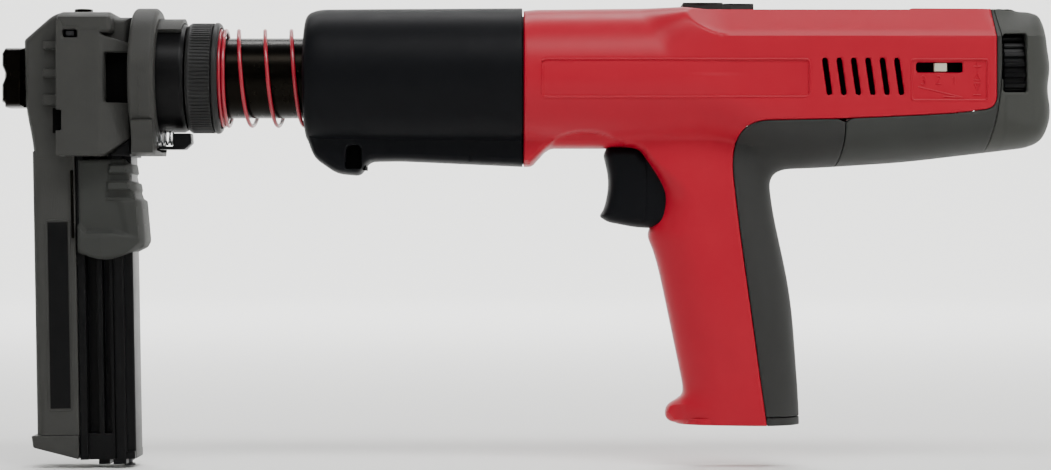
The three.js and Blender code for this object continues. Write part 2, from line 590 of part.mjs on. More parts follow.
function addHead(root) {
  const h = HEAD;
  const outline = polygon([
    [h.x0, 24.2], [-180, h.top], [-161.4, h.top], [-157, 23.8], [h.x1, 23.8], [h.x1, h.foot], [h.x0, h.foot],
  ]);
  const chamfer = polygon([[h.x0, -h.half], [-161.4, -h.half], [h.x1, -17], [h.x1, 17], [-161.4, h.half], [h.x0, h.half]]);
  const plan = solid(new THREE.ExtrudeGeometry(chamfer, { depth: 60, bevelEnabled: false }).translate(0, 0, -32));
  const visor = side(polygon([
    [h.front, 15], [h.x0 - 0.4, h.top - 1], [h.x0 + 3, h.top - 1], [h.x0 + 3, h.foot], [h.front + 1.4, h.foot],
    [h.front, -12],
  ]), -13.4, 13.4, 1, 1, 1);
  const nailWay = block([NAIL.x0, NAIL.x1], [-NAIL.half, NAIL.half], [h.foot - 1, NAIL.half]);
  const bore = rod(h.front - 1, h.x1 + 1, BARREL.rodBore, 20);
  const nosepieceSeat = rod(h.front - 1, NAIL.x0 - 0.2, 7 + GAP, 20);
  const recess = [-1, 1].map((s) => block([-160, h.x1 + 1], s < 0 ? [-30, -14] : [14, 30], [-9, 9.6]));
  const eyes = [-1, 1].flatMap((s) => [
    block([-175.8, -170.4], s < 0 ? [-30, -18] : [18, 30], [15, 17.8]),
    block([-180.6, -177.6], s < 0 ? [-30, -16] : [16, 30], [-19, -11.6]),
  ]);
  const seats = HEAD_SCREWS.map(([x, z]) => union(pin(x, z, 3.2, 16.2, 30), pin(x, z, 1.5, 7, 30)));
  const studHole = post(-171, 0, 3.4, 20, 40);
  add(root, "magazine_head",
    cut(side(outline, -h.half, h.half, 1, 1, 1).intersect(plan).add(visor), nailWay, bore, nosepieceSeat,
      studHole, ...recess, ...eyes, ...seats), CHARCOAL);
  HEAD_SCREWS.forEach(([x, z], i) => {
    const body = union(pin(x, z, 2.9, 16.6, 18.6), pin(x, z, 1.2, 8, 17, 8)).subtract(pin(x, z, 1.3, 17.6, 20, 6));
    add(root, `head_screw_${i + 1}`, body, SCREW);
  });
  add(root, "head_stud", union(post(-171, 0, 3.1, 20.4, h.top + 0.2), post(-171, 0, 3.6, h.top, h.top + 1.4)), DARK_STEEL);
  add(root, "stop_latch", block([-175, -171.4], [-19.4, -18.2], [15.3, 17.5]), BRIGHT_STEEL);
}

function addNosepiece(root) {
  const s = polygon([
    [-200.4, 11.6], [MUZZLE_X, 9.2], [MUZZLE_X, 4.6], [-200.3, 1], [-200.3, -0.6], [MUZZLE_X, -3.6],
    [MUZZLE_X, -9.6], [-200.8, -10], [-200.4, -11.6], [-193.1, -11.6], [-193.1, 11.6],
  ]);
  const front = side(s, -9.5, 9.5, 1.6, 1, 1);
  const bore = rod(-203, -180, BARREL.rodBore, 20);
  add(root, "nosepiece", union(front, rod(-194, -187.4, 7, 20)).subtract(bore), DARK_STEEL);
}

// ---------------------------------------------------------------- magazine: track, slider and pusher
function addTrack(head) {
  const t = TRACK;
  const lean = new THREE.Group(); // leans about the point where the track leaves the head
  lean.position.set(HEAD.x0, 0, HEAD.foot);
  lean.rotation.y = -LEAN;
  const drawn = new THREE.Group(); // brings the track's own solids back to the bore's frame
  drawn.position.set(-HEAD.x0, 0, -HEAD.foot);
  lean.add(drawn);
  head.add(lean);

  const nailWay = block([NAIL.x0, NAIL.x1], [-NAIL.half, NAIL.half], [-200, HEAD.foot + 10]);
  const strip = cut(
    side(polygon([[t.front, HEAD.foot - GAP], [t.split0, HEAD.foot - GAP], [t.split0, -136.6], [t.front, -137.4]]),
      -t.half, t.half, 3, 1, 2),
    nailWay,
    block([-184.5, -176.3], [-t.half - 1, -t.half + 0.7], [-130, -54.5]),
  );
  add(drawn, "magazine_body", strip, CHARCOAL);

  const rail = cut(
    union(
      block([t.split1, t.rear], [-t.railHalf, t.railHalf], [TRACK_FOOT, HEAD.foot - 0.6]),
      block([-158.6, -154.4], [-t.railHalf - 1.6, t.railHalf + 1.6], [TRACK_FOOT, -72]),
      block([-158.6, -154.4], [-7, 7], [TRACK_FOOT - 2.9, TRACK_FOOT + 1]),
    ),
    nailWay,
    ...[-1, 1].flatMap((s) => [[-168.6, -164.6], [-162.6, -159.6]].map((x) =>
      block(x, s < 0 ? [-20, -t.railHalf + 3.4] : [t.railHalf - 3.4, 20], [-137.4, 0]))),
    post(-155.2, 0, 1.5, -160, -138),
    post(-155.2, 0, 2.5, -160, TRACK_FOOT - 1.4),
  );
  add(drawn, "magazine_rail", rail, BLACK);

  const foot = cut(
    side(polygon([[-191, -137.8], [t.split0, -137.2], [t.split0, TRACK_FOOT - 0.2], [-178, -145.8], [-190, -143.4],
      [-191.6, -142]]), -t.half - 0.6, t.half + 0.6, 1.6, 1, 1),
    nailWay,
  );
  add(drawn, "magazine_foot", foot, CHARCOAL);
  add(drawn, "rail_screw", union(post(-155.2, 0, 1.2, -149.6, -139), post(-155.2, 0, 2.2, TRACK_FOOT - 2.6, TRACK_FOOT - 1.7)), SCREW);
  return drawn;
}

function addSlider(track) {
  const t = TRACK;
  const s = polygon([
    [t.split1 + 0.3, SLIDER.top], [-150.8, SLIDER.top], [-150.2, -34.2], [-149.2, -34.4], [-149, -37.6],
    [-149.8, -38], [-149.2, -41], [-148.4, -41.2], [-147.2, -43.8], [-147.8, -44.4], [-146.8, -47.4],
    [-145.2, -47.6], [-143.6, -64], [-144.6, -65.6], [-152.4, -69], [-159.4, -70.4], [-165, -69.6], [t.split1 + 0.3, -67.8],
  ]);
  const room = union(
    block([t.split1 - 1, t.rear + 0.4], [-t.railHalf - 0.4, t.railHalf + 0.4], [-90, -20]),
    block([-159, -154], [-t.railHalf - 2.1, t.railHalf + 2.1], [-90, -20]),
  );
  const grip = cut(side(s, -15.5, 15.5, 1.6, 1, 1), room);
  add(track, "magazine_slider", grip, CHARCOAL);
  const reel = { x: -163.5, z: -56.5 };
  const pusher = union(
    block([NAIL.x0 + 0.5, NAIL.x1 - 0.5], [-3.9, 3.9], [-62, -6])
      .subtract(block([-168.2, -157], [-3, 5], [-63, -51.8])),
    block([t.split0 + 0.3, t.split1 - 0.3], [-14, 14], [-62, -36]),
    pin(reel.x, reel.z, 1.6, -3.5, 3.6),
  );
  add(track, "nail_pusher", pusher, BRIGHT_STEEL);
  const roll = pin(reel.x, reel.z, 4, -2.7, 3.3, 20).subtract(pin(reel.x, reel.z, 1.9, -5, 5, 16));
  add(track, "follower_spring", roll.add(block([reel.x + 3.5, reel.x + 4], [-2.7, 3.3], [reel.z, -52.2])), BRIGHT_STEEL);
}

addCasing(tool);
addHousing(tool);
addGrip(tool);
addRearCover(tool);
addRearCap(tool);
addBreech(tool);
addStriker(tool);
addFeed(tool);
addTrigger(tool);
addRegulator(tool);
addNose(tool);
addCollar(tool);
addHead(tool);
addNosepiece(tool);
addSlider(addTrack(tool));

export default tool;
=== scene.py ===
# %% [markdown]
# # A powder-actuated nail gun
# The tool is built from a few kinds of surface. Mouldings are height fields: a grid over the tool's side view, lifted
# out sideways by a formula. Turned pieces are profiles spun round the bore. Springs are tubes swept along a helix.
# All shapes are worked out in millimetres in the bore's own frame: x along the bore with the muzzle at -x,
# y across, z up from the bore axis. `piece` brings them into the part's frame, in metres.

import math

import bmesh
import bpy
import numpy as np
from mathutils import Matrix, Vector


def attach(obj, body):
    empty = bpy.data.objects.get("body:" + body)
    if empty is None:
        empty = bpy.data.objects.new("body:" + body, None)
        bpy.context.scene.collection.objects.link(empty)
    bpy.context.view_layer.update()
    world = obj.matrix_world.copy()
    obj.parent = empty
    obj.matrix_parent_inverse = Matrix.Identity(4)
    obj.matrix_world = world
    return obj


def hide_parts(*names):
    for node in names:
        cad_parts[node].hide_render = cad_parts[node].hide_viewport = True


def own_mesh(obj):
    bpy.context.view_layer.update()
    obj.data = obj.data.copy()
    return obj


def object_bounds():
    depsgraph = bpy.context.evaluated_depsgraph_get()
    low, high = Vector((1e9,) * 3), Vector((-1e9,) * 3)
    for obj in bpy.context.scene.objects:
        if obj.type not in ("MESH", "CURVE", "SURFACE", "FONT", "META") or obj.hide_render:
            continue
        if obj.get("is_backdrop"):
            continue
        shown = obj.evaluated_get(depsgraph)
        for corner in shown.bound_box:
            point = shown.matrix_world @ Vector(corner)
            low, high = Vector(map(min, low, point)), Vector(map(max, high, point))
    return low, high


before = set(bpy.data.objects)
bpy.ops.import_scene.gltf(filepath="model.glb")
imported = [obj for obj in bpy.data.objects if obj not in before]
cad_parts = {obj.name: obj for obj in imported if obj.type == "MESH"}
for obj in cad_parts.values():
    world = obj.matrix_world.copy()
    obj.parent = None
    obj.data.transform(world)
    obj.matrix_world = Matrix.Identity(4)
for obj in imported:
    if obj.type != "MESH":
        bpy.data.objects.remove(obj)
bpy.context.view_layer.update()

BORE = 150.0  # height of the bore axis above the part's origin, mm
LEAN = math.radians(1.0)  # the magazine's track leans back by this much
LEAN_AT = (-182.0, -30.4)  # about this point

# %% [markdown]
# ## Materials
# Each material is procedural. Object coordinates are in metres, so a grain of g millimetres needs a noise scale of
# 1000 / g. Colours are given as sRGB hex and turned into linear light by one function.


# %% Materials
def linear(hex_colour):
    """sRGB hex to linear RGBA: c/12.92 below 0.04045, else ((c + 0.055)/1.055)^2.4."""
    c = np.array([int(hex_colour[i : i + 2], 16) for i in (0, 2, 4)]) / 255
    c = np.where(c < 0.04045, c / 12.92, ((c + 0.055) / 1.055) ** 2.4)
    return (*map(float, c), 1.0)


def add(tree, kind, **inputs):
    """Adds a node. A socket is linked, a plain value is set, and a key that isn't an input is a property."""
    made = tree.nodes.new(kind)
    for key, value in inputs.items():
        socket = made.inputs.get(key.replace("_", " "))
        if socket is None:
            setattr(made, key, value)
        elif isinstance(value, bpy.types.NodeSocket):
            tree.links.new(value, socket)
        else:
            socket.default_value = value
    return made


def start(name):
    m = bpy.data.materials.new(name)
    m.use_nodes = True
    m.node_tree.nodes.clear()
    place = add(m.node_tree, "ShaderNodeTexCoord").outputs["Object"]
    return m, m.node_tree, place


def close(m, tree, **inputs):
    shader = add(tree, "ShaderNodeBsdfPrincipled", **inputs)
    add(tree, "ShaderNodeOutputMaterial", Surface=shader.outputs[0])
    return m


def blotch(tree, place, size_mm, low, high):
    """A soft random value between low and high that changes over about size_mm."""
    noise = add(tree, "ShaderNodeTexNoise", Vector=place, Scale=1000 / size_mm, Detail=2.0)
    return add(tree, "ShaderNodeMapRange", Value=noise.outputs[0], To_Min=low, To_Max=high).outputs[0]


def moulded(name, colour, rough, grain_mm, relief_mm, spread=0.05, tone=0.05, specular=0.5, stretch=(1, 1, 1)):
    """An injection moulding: spark-eroded or drawn-out grain as relief, and slow changes of gloss and tone."""
    m, tree, place = start(name)
    drawn = add(tree, "ShaderNodeVectorMath", operation="MULTIPLY")
    tree.links.new(place, drawn.inputs[0])
    drawn.inputs[1].default_value = stretch
    grain = add(tree, "ShaderNodeTexNoise", Vector=drawn.outputs[0], Scale=1000 / grain_mm, Detail=3.0, Roughness=0.6)
    bump = add(tree, "ShaderNodeBump", Height=grain.outputs[0], Strength=1.0, Distance=relief_mm / 1000)
    base = linear(colour)
    dark = tuple(c * (1 - 2 * tone) for c in base[:3]) + (1.0,)
    tinted = add(tree, "ShaderNodeMix", data_type="RGBA")
    tree.links.new(blotch(tree, place, 14, 0.0, 1.0), tinted.inputs[0])
    tinted.inputs[6].default_value = base
    tinted.inputs[7].default_value = dark
    return close(m, tree, Base_Color=tinted.outputs[2], Normal=bump.outputs[0],
                 Roughness=blotch(tree, place, 9, rough - spread, rough + spread), Specular_IOR_Level=specular)


def turned_steel(name, colour, rough, ring_mm, relief_mm):
    """Steel turned on a lathe about the bore: fine rings that depend on x alone."""
    m, tree, place = start(name)
    along = add(tree, "ShaderNodeVectorMath", operation="MULTIPLY")
    tree.links.new(place, along.inputs[0])
    along.inputs[1].default_value = (1.0, 0.02, 0.02)
    rings = add(tree, "ShaderNodeTexNoise", Vector=along.outputs[0], Scale=1000 / ring_mm, Detail=2.0)
    bump = add(tree, "ShaderNodeBump", Height=rings.outputs[0], Strength=1.0, Distance=relief_mm / 1000)
    return close(m, tree, Base_Color=linear(colour), Metallic=1.0, Normal=bump.outputs[0],
                 Roughness=blotch(tree, place, 6, rough - 0.06, rough + 0.06))


def coated_wire(name, colour, rough):
    """Spring wire under a coloured lacquer."""
    m, tree, place = start(name)
    return close(m, tree, Base_Color=linear(colour), Roughness=blotch(tree, place, 3, rough - 0.05, rough + 0.08),
                 Coat_Weight=0.4, Coat_Roughness=0.15)


RED = moulded("red moulded polyamide, satin", "AD162C", 0.36, 0.5, 0.012, tone=0.03, specular=0.18)
CASING = moulded("black moulded polyamide, eroded", "0E0F12", 0.46, 0.55, 0.03, specular=0.08)
GRIP = moulded("dark grey soft overmould", "353534", 0.60, 0.45, 0.03, specular=0.12)
CHARCOAL = moulded("charcoal glass-filled polyamide", "3A3B39", 0.55, 0.6, 0.03, specular=0.1)
TAIL_GREY = moulded("mid grey glass-filled polyamide", "434441", 0.55, 0.6, 0.03, specular=0.1)
HEAD = moulded("grey glass-filled polyamide, streaked", "3F3F3D", 0.5, 0.45, 0.08,
               tone=0.12, specular=0.14, stretch=(1, 1, 0.12))
JET = moulded("black glass-filled polyamide", "0D0D0E", 0.36, 0.5, 0.02, specular=0.12)
KNURL = moulded("dark grey glass-filled polyamide", "2A2A2A", 0.42, 0.5, 0.02, specular=0.15)
# Flat black with almost no gloss, set behind openings and in recesses as painted shade.
PAINTED_SHADE_BLACK = moulded("black painted shade", "020202", 0.9, 0.5, 0.01, specular=0.1)
PALE = moulded("pale acetal", "C9C6B2", 0.35, 0.5, 0.005)
BLUED = turned_steel("blackened turned steel", "14120F", 0.26, 0.35, 0.004)
BRIGHT = turned_steel("bright turned steel", "B9BABC", 0.28, 0.3, 0.004)
SCREW = turned_steel("black oxide screw steel", "4A4A4C", 0.4, 0.3, 0.004)
LACQUER = coated_wire("red lacquered spring wire", "9C0C26", 0.32)
BUFFER = moulded("amber cast polyurethane", "8A5A20", 0.5, 0.8, 0.01)

# %% [markdown]
# ## Curves and solids
# `fillet` turns a few corners into a smooth line. `nearest` and `inside` measure a point against such a line, and
# `mould` uses them to cut a height field exactly along an outline.


# %% Curve helpers
def smooth(a, b, x):
    """0 before a, 1 after b, and t^2 (3 - 2 t) between."""
    t = np.clip((np.asarray(x, float) - a) / (b - a), 0, 1)
    return t * t * (3 - 2 * t)


def mix(a, b, t):
    return a + (b - a) * t


def roll(d, radius, power=2.0):
    """How far a surface has risen at depth d behind a rounded edge: (1 - (1 - d/r)^p)^(1/p)."""
    return (1 - (1 - np.clip(d / radius, 0, 1)) ** power) ** (1 / power)


def fillet(nodes, closed=True, steps=6):
    """A line through corners (a, b) or (a, b, r): each corner is cut r before and after, and joined by a parabola."""
    pts = np.array([n[:2] for n in nodes], float)
    cut = [n[2] if len(n) > 2 else 0.0 for n in nodes]
    out = []
    for i, p in enumerate(pts):
        if cut[i] == 0 or (not closed and i in (0, len(pts) - 1)):
            out.append(p[None])
            continue
        ends = []
        for q in (pts[i - 1], pts[(i + 1) % len(pts)]):
            v = q - p
            ends.append(p + v * min(0.5, cut[i] / np.hypot(*v)))
        t = np.linspace(0, 1, steps + 1)[:, None]
        out.append((1 - t) ** 2 * ends[0] + 2 * t * (1 - t) * p + t * t * ends[1])
    return np.vstack(out)


def segments(line, closed=True):
    a, b = (line, np.roll(line, -1, 0)) if closed else (line[:-1], line[1:])
    keep = np.hypot(*(b - a).T) > 1e-9
    return a[keep], b[keep]


def nearest(segs, p, chunk=4096):
    """Distance from each point to the line, and the nearest point on it."""
    a, b = segs
    ab = b - a
    length2 = (ab**2).sum(1)
    dist, foot = np.empty(len(p)), np.empty((len(p), 2))
    for k in range(0, len(p), chunk):
        q = p[k : k + chunk, None]
        t = np.clip(((q - a) * ab).sum(2) / length2, 0, 1)
        f = a + t[..., None] * ab
        d2 = ((q - f) ** 2).sum(2)
        best = d2.argmin(1)
        rows = np.arange(len(best))
        dist[k : k + chunk] = np.sqrt(d2[rows, best])
        foot[k : k + chunk] = f[rows, best]
    return dist, foot


def inside(segs, p, chunk=4096):
    """True where a ray to +x crosses the line an odd number of times."""
    a, b = segs
    out = np.empty(len(p), bool)
    slope = (b[:, 0] - a[:, 0]) / np.where(b[:, 1] == a[:, 1], 1e-12, b[:, 1] - a[:, 1])
    for k in range(0, len(p), chunk):
        x, z = p[k : k + chunk, 0, None], p[k : k + chunk, 1, None]
        crosses = ((a[:, 1] > z) != (b[:, 1] > z)) & (x < a[:, 0] + (z - a[:, 1]) * slope)
        out[k : k + chunk] = crosses.sum(1) % 2 == 1
    return out


def mould(rim, height, holes=(), cell=0.7, lip=0.4, sides="both", rows=None, bend=None, least=0.0, within=None,
          core=None):
    """A height field y = height(x, z, s) over the part of the x-z plane inside rim, outside the holes and within
    a further outline. s is the depth behind the nearest edge. Grid points just outside are moved onto the edge, so
    it is exact, and rims and holes are rounded by lip: y falls by lip (1 - roll(s)). With a core, the moulding is two
    solids, from y = core(x, z) out to the surface on each side, and what lies between them is a bore or a pocket."""
    rim_s = segments(rim)
    hole_s = [segments(h) for h in holes]
    low, high = rim.min(0) - cell, rim.max(0) + cell
    xs = np.arange(low[0], high[0] + cell, cell)
    zs = np.arange(low[1], high[1] + cell, cell) if rows is None else rows[rows > low[1]]
    gx, gz = np.meshgrid(xs, zs, indexing="ij")
    shape = gx.shape
    p = np.column_stack([gx.ravel(), gz.ravel()])
    if bend is not None:
        p = bend(p)
    dist, foot = nearest(rim_s, p)
    s = np.where(inside(rim_s, p), dist, -dist)
    for h in hole_s:
        dist, hole_foot = nearest(h, p)
        sh = np.where(inside(h, p), -dist, dist)
        closer = sh < s
        s[closer], foot[closer] = sh[closer], hole_foot[closer]
    depth = s.copy()
    if within is not None:
        dist, line_foot = nearest(within, p)
        sw = np.where(inside(within, p), dist, -dist)
        closer = sw < depth
        depth[closer], foot[closer] = sw[closer], line_foot[closer]
    solid = (depth > 0.05).reshape(shape)
    grown = np.zeros((shape[0] + 2, shape[1] + 2), bool)
    for i in range(3):
        for j in range(3):
            grown[i : i + shape[0], j : j + shape[1]] |= solid
    edge = grown[1:-1, 1:-1] & ~solid
    on_edge = edge.ravel()
    p[on_edge], s[on_edge] = foot[on_edge], np.maximum(s[on_edge], 0)
    corners = np.stack([solid[:-1, :-1], solid[1:, :-1], solid[1:, 1:], solid[:-1, 1:]])
    index = np.arange(gx.size).reshape(shape)
    quads = np.stack([index[:-1, :-1], index[1:, :-1], index[1:, 1:], index[:-1, 1:]], -1)[corners.any(0)]
    used, quads = np.unique(quads, return_inverse=True)
    quads = quads.reshape(-1, 4)
    x, z, s = p[used, 0], p[used, 1], s[used]
    y = height(x, z, s) - lip * (1 - roll(s, max(lip, 1e-6) * 1.4))
    y = np.maximum(y, least)
    if sides == "near":
        return np.column_stack([x, -y, z]), quads.tolist()
    if sides == "far":
        return np.column_stack([x, y, z]), quads[:, ::-1].tolist()
    n = len(x)
    pairs = np.vstack([quads[:, [i, (i + 1) % 4]] for i in range(4)])
    pairs = pairs[pairs[:, 0] != pairs[:, 1]]
    forward = pairs[:, 0].astype(np.int64) * n + pairs[:, 1]
    backward = pairs[:, 1].astype(np.int64) * n + pairs[:, 0]
    rimmed = pairs[~np.isin(forward, backward)]
    walls = np.column_stack([rimmed[:, 1], rimmed[:, 0], rimmed[:, 0] + n, rimmed[:, 1] + n])
    faces = np.vstack([quads, quads[:, ::-1] + n, walls])
    if core is None:
        return np.vstack([np.column_stack([x, -y, z]), np.column_stack([x, y, z])]), faces.tolist()
    hollow = np.maximum(core(x, z), 0.01)
    y = np.maximum(y, hollow + 0.05)
    sheets = [np.column_stack([x, part, z]) for part in (-y, -hollow, hollow, y)]
    return np.vstack(sheets), np.vstack([faces, faces + 2 * n]).tolist()


def lathe(profile, turns=96, closed=True):
    """Spins a line of (x, r) round the bore: (x, r cos a, r sin a)."""
    a = np.linspace(0, 2 * np.pi, turns, endpoint=False)
    x, r = np.asarray(profile, float)[:, 0], np.asarray(profile, float)[:, 1]
    grid = np.stack([np.repeat(x[:, None], turns, 1), r[:, None] * np.cos(a), r[:, None] * np.sin(a)], -1)
    return weave(grid, closed, True)


def weave(grid, wrap_u, wrap_v):
    """Quads over a grid of points (u, v, 3), joined end to end where asked."""
    nu, nv = grid.shape[:2]
    i = np.arange(nu if wrap_u else nu - 1)[:, None]
    j = np.arange(nv if wrap_v else nv - 1)[None]
    i2, j2 = (i + 1) % nu, (j + 1) % nv
    quads = np.stack(np.broadcast_arrays(i * nv + j, i * nv + j2, i2 * nv + j2, i2 * nv + j), -1)
    return grid.reshape(-1, 3), quads.reshape(-1, 4).tolist()


def sweep(path, radius, sides=10):
    """A round tube of that radius along a line of points, its ends closed by shrinking the last rings to a point."""
    path = np.asarray(path, float)
    tangent = np.gradient(path, axis=0)
    tangent /= np.linalg.norm(tangent, axis=1)[:, None]
    across = np.cross(tangent, [0.31, 0.17, 0.93])
    across /= np.linalg.norm(across, axis=1)[:, None]
    up = np.cross(tangent, across)
    a = np.linspace(0, 2 * np.pi, sides, endpoint=False)
    r = np.full(len(path), float(radius))
    ring = across[:, None] * np.cos(a)[None, :, None] + up[:, None] * np.sin(a)[None, :, None]
    grid = path[:, None] + ring * r[:, None, None]
    grid = np.concatenate([np.repeat(path[:1, None], sides, 1), grid, np.repeat(path[-1:, None], sides, 1)])
    return weave(grid, False, True)


def helix(x0, x1, radius, wire, turns, closed_turns, phase=0.0, y=0.0, z=0.0, steps=48, sides=10):
    """A compression spring: (x(a), -r sin a, r cos a), with the pitch closed up over the end turns."""
    total = turns + 2 * closed_turns
    t = np.linspace(0, total, int(total * steps))
    shut = 2.15 * wire
    pitch = (x1 - x0 - 2 * wire - 2 * closed_turns * shut) / turns
    x = x0 + wire + np.minimum(t, closed_turns) * shut + np.clip(t - closed_turns, 0, turns) * pitch
    x += np.maximum(t - closed_turns - turns, 0) * shut
    a = 2 * np.pi * (t + phase)
    return sweep(np.column_stack([x, y - radius * np.sin(a), z + radius * np.cos(a)]), wire, sides)


def prism(section, z0, z1):
    """A section in (x, y), standing from z0 to z1."""
    n = len(section)
    lower = np.column_stack([section, np.full(n, z0)])
    upper = np.column_stack([section, np.full(n, z1)])
    faces = [[i, (i + 1) % n, n + (i + 1) % n, n + i] for i in range(n)]
    return np.vstack([lower, upper]), faces + [list(range(n))[::-1], list(range(n, 2 * n))]


def block(low, high):
    x0, y0, z0 = low
    x1, y1, z1 = high
    return prism(np.array([[x0, y0], [x1, y0], [x1, y1], [x0, y1]], float), z0, z1)


def leaned(shape):
    """Turns a shape of the magazine's track about the point where it leaves the head."""
    v, f = shape
    x, z = v[:, 0] - LEAN_AT[0], v[:, 2] - LEAN_AT[1]
    c, s = math.cos(LEAN), math.sin(LEAN)
    return np.column_stack([LEAN_AT[0] + x * c - z * s, v[:, 1], LEAN_AT[1] + x * s + z * c]), f


def piece(name, shapes, body, material, stands_for=(), bevel=0.0, wall=0.0, sharp=35, recalc=True):
    """Joins shapes into one finished object that rides on a body of the part."""
    verts, faces, count = [], [], 0
    for v, f in shapes:
        verts.append(v)
        faces += [[i + count for i in face] for face in f]
        count += len(v)
    v = np.vstack(verts) * 0.001 + np.array([0, 0, BORE * 0.001])
    mesh = bpy.data.meshes.new(name)
    mesh.from_pydata(v.tolist(), [], faces)
    bm = bmesh.new()
    bm.from_mesh(mesh)
    bmesh.ops.remove_doubles(bm, verts=bm.verts, dist=2e-6)
    bmesh.ops.dissolve_degenerate(bm, edges=bm.edges, dist=1e-7)
    if recalc:
        bmesh.ops.recalc_face_normals(bm, faces=bm.faces)
    bm.to_mesh(mesh)
    bm.free()
    mesh.materials.append(material)
    mesh.shade_smooth()
    mesh.set_sharp_from_angle(angle=math.radians(sharp))
    made = bpy.data.objects.new(name, mesh)
    bpy.context.scene.collection.objects.link(made)
    if wall:
        thick = made.modifiers.new("wall", "SOLIDIFY")
        thick.thickness, thick.offset = wall / 1000, -1.0
    if bevel:
        edges = made.modifiers.new("edges", "BEVEL")
        edges.width, edges.segments, edges.limit_method = bevel / 1000, 2, "ANGLE"
        edges.angle_limit = math.radians(40)
        edges.harden_normals = False
    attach(made, body)
    if stands_for:
        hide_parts(*stands_for)
    return made


# %% [markdown]
# ## The rear of the tool
# The red halves, the soft grip, the lower cover and the end cap share one surface. Each is cut out of it by its own
# outline. The surface's half width is made from a round body at the front, a flat-flanked one with a sloping
# shoulder at the back, a keel, a handle, and a rounded edge along the silhouette.

# %% The shared surface
ROOF_X = [-2, 4, 50, 60, 69, 147, 148, 178, 185, 191, 197, 204]
ROOF_Z = [25.9, 26.5, 27.0, 27.0, 25.9, 25.9, 26.4, 26.3, 25.8, 25.5, 24.6, 22]
ROOF = 26.5
FLANK = 25.2  # half width of the flat flanks
LOWER = [  # lower silhouette from the muzzle end to the top of the cap, corners as x, z, cut
    (-60, -34.3), (2.4, -34.3, 1.5), (8.8, -27.3, 2.5), (43.4, -27.3, 4), (50.2, -39.6, 6), (52.4, -47.6, 6),
    (46.8, -60.4, 2.5), (50.6, -70, 10), (56.5, -98, 20), (60.9, -119.4, 3), (60.4, -122.6, 2), (53.8, -126.6, 3),
    (54.0, -132.2, 3), (60.5, -133.7, 3), (61.5, -160),
    (106.4, -160), (105.6, -125, 8), (102.6, -84, 14), (95.2, -50, 10), (93.8, -35.4, 9), (113, -34.7, 7),
    (146, -32.6, 10), (180, -28.6, 8), (197.4, -26.5, 7), (201.2, -19, 4), (202.0, -12.5, 4), (200.6, -4.5, 4),
    (201.9, 3, 4), (200.4, 13.5, 4), (199.9, 20, 3), (197.6, 25.4, 4), (188, 26.0, 3), (186, 60), (-60, 60),
]
lower_line = fillet(LOWER, True, 8)
closed_lower = segments(lower_line)
open_lower = segments(lower_line[:-2], closed=False)
ARCH = fillet([(4.6, -36), (7.6, -28, 2), (12, -22.6, 3), (20, -20.6, 4), (28, -20.8, 4), (35, -23.4, 4),
               (42, -28.6, 3), (46, -36)], False)


def edge_radius(x, z):
    """Rounding of the silhouette: 2.5 mm round the keel, 15 mm on handle and belly, 9 mm at the tail."""
    r = mix(2.5, 15.0, np.maximum(smooth(-29, -50, z), smooth(60, 92, x)))
    return mix(r, 9.0, smooth(178, 192, x))


def sunk(x, z, x0, x1, z0, z1, corner=1.6):
    """1 inside a rectangle with round corners and 0 outside, from its signed distance: |max(q, 0)| - r."""
    qx = np.abs(x - (x0 + x1) / 2) - (x1 - x0) / 2 + corner
    qz = np.abs(z - (z0 + z1) / 2) - (z1 - z0) / 2 + corner
    d = np.hypot(np.maximum(qx, 0), np.maximum(qz, 0)) + np.minimum(np.maximum(qx, qz), 0) - corner
    return 1 - smooth(-0.5, 0.3, d)


def rear_half_width(x, z, s):
    square = smooth(-9, 21, x - 66 + 0.55 * z)
    roof = np.interp(x, ROOF_X, ROOF_Z)
    width = mix(26.5, FLANK, square) - 0.9 * smooth(120, 185, x)
    power = 2 + 3.5 * square
    upper = width * (1 - np.clip(z / roof, 0, 1) ** power) ** (1 / power)
    crease = 14.4 + 12.5 * (1 - smooth(40, 78, x))
    upper = np.minimum(upper, width - 1.2 * np.maximum(z - crease, 0) + 0.25 * smooth(3, 0, np.abs(z - crease)))
    round_low = np.sqrt(np.maximum(26.5**2 - np.minimum(z, 0) ** 2, 0))
    low = mix(np.where(np.abs(z) < 26.5, round_low, 0), width, square)
    body = np.where(z > 0, upper, low)
    keel = 12.6
    h = np.clip(0.5 + 0.5 * (body - keel) / 2.5, 0, 1)
    body = np.where(z < 0, mix(keel, body, h) + 2.5 * h * (1 - h), body)
    handle = 15.4 + 1.3 * np.exp(-(((z + 88) / 26) ** 2)) + 0.9 * smooth(-112, -133, z)
    hold = smooth(-8, -50, z) * (1 - smooth(94, 116, x)) * smooth(34, 60, x + 0.3 * (z + 30))
    body = mix(body, handle, hold)
    arch = np.interp(x, ARCH[:, 0], ARCH[:, 1], left=-200, right=-200)
    body = np.minimum(body, mix(body, 9.0 + 0.6 * (z + 27), smooth(-0.1, 1.1, arch - z)))
    body = body - 0.35 * (sunk(x, z, 6.2, 107.6, -8.3, 6.0) + sunk(x, z, 146.0, 175.0, -9.6, 5.9))
    d, _ = nearest(open_lower, np.column_stack([x, z]))
    return body * roll(d, edge_radius(x, z), 2.15)


def rear_bend(p):
    """Moves the top rows to the roof, and grid points near the silhouette from depth d to r (1 - cos(pi d / 2 r))."""
    p = p.copy()
    p[:, 1] += (np.interp(p[:, 0], ROOF_X, ROOF_Z) - ROOF) * np.clip((p[:, 1] - 12) / (ROOF - 12), 0, 1)
    d, foot = nearest(open_lower, p)
    r = edge_radius(p[:, 0], p[:, 1])
    move = (d < r) & (d > 1e-6) & inside(closed_lower, p)
    new = r * (1 - np.cos(np.clip(d / r, 0, 1) * np.pi / 2))
    p[move] = foot[move] + (p[move] - foot[move]) * (new[move] / d[move])[:, None]
    return p


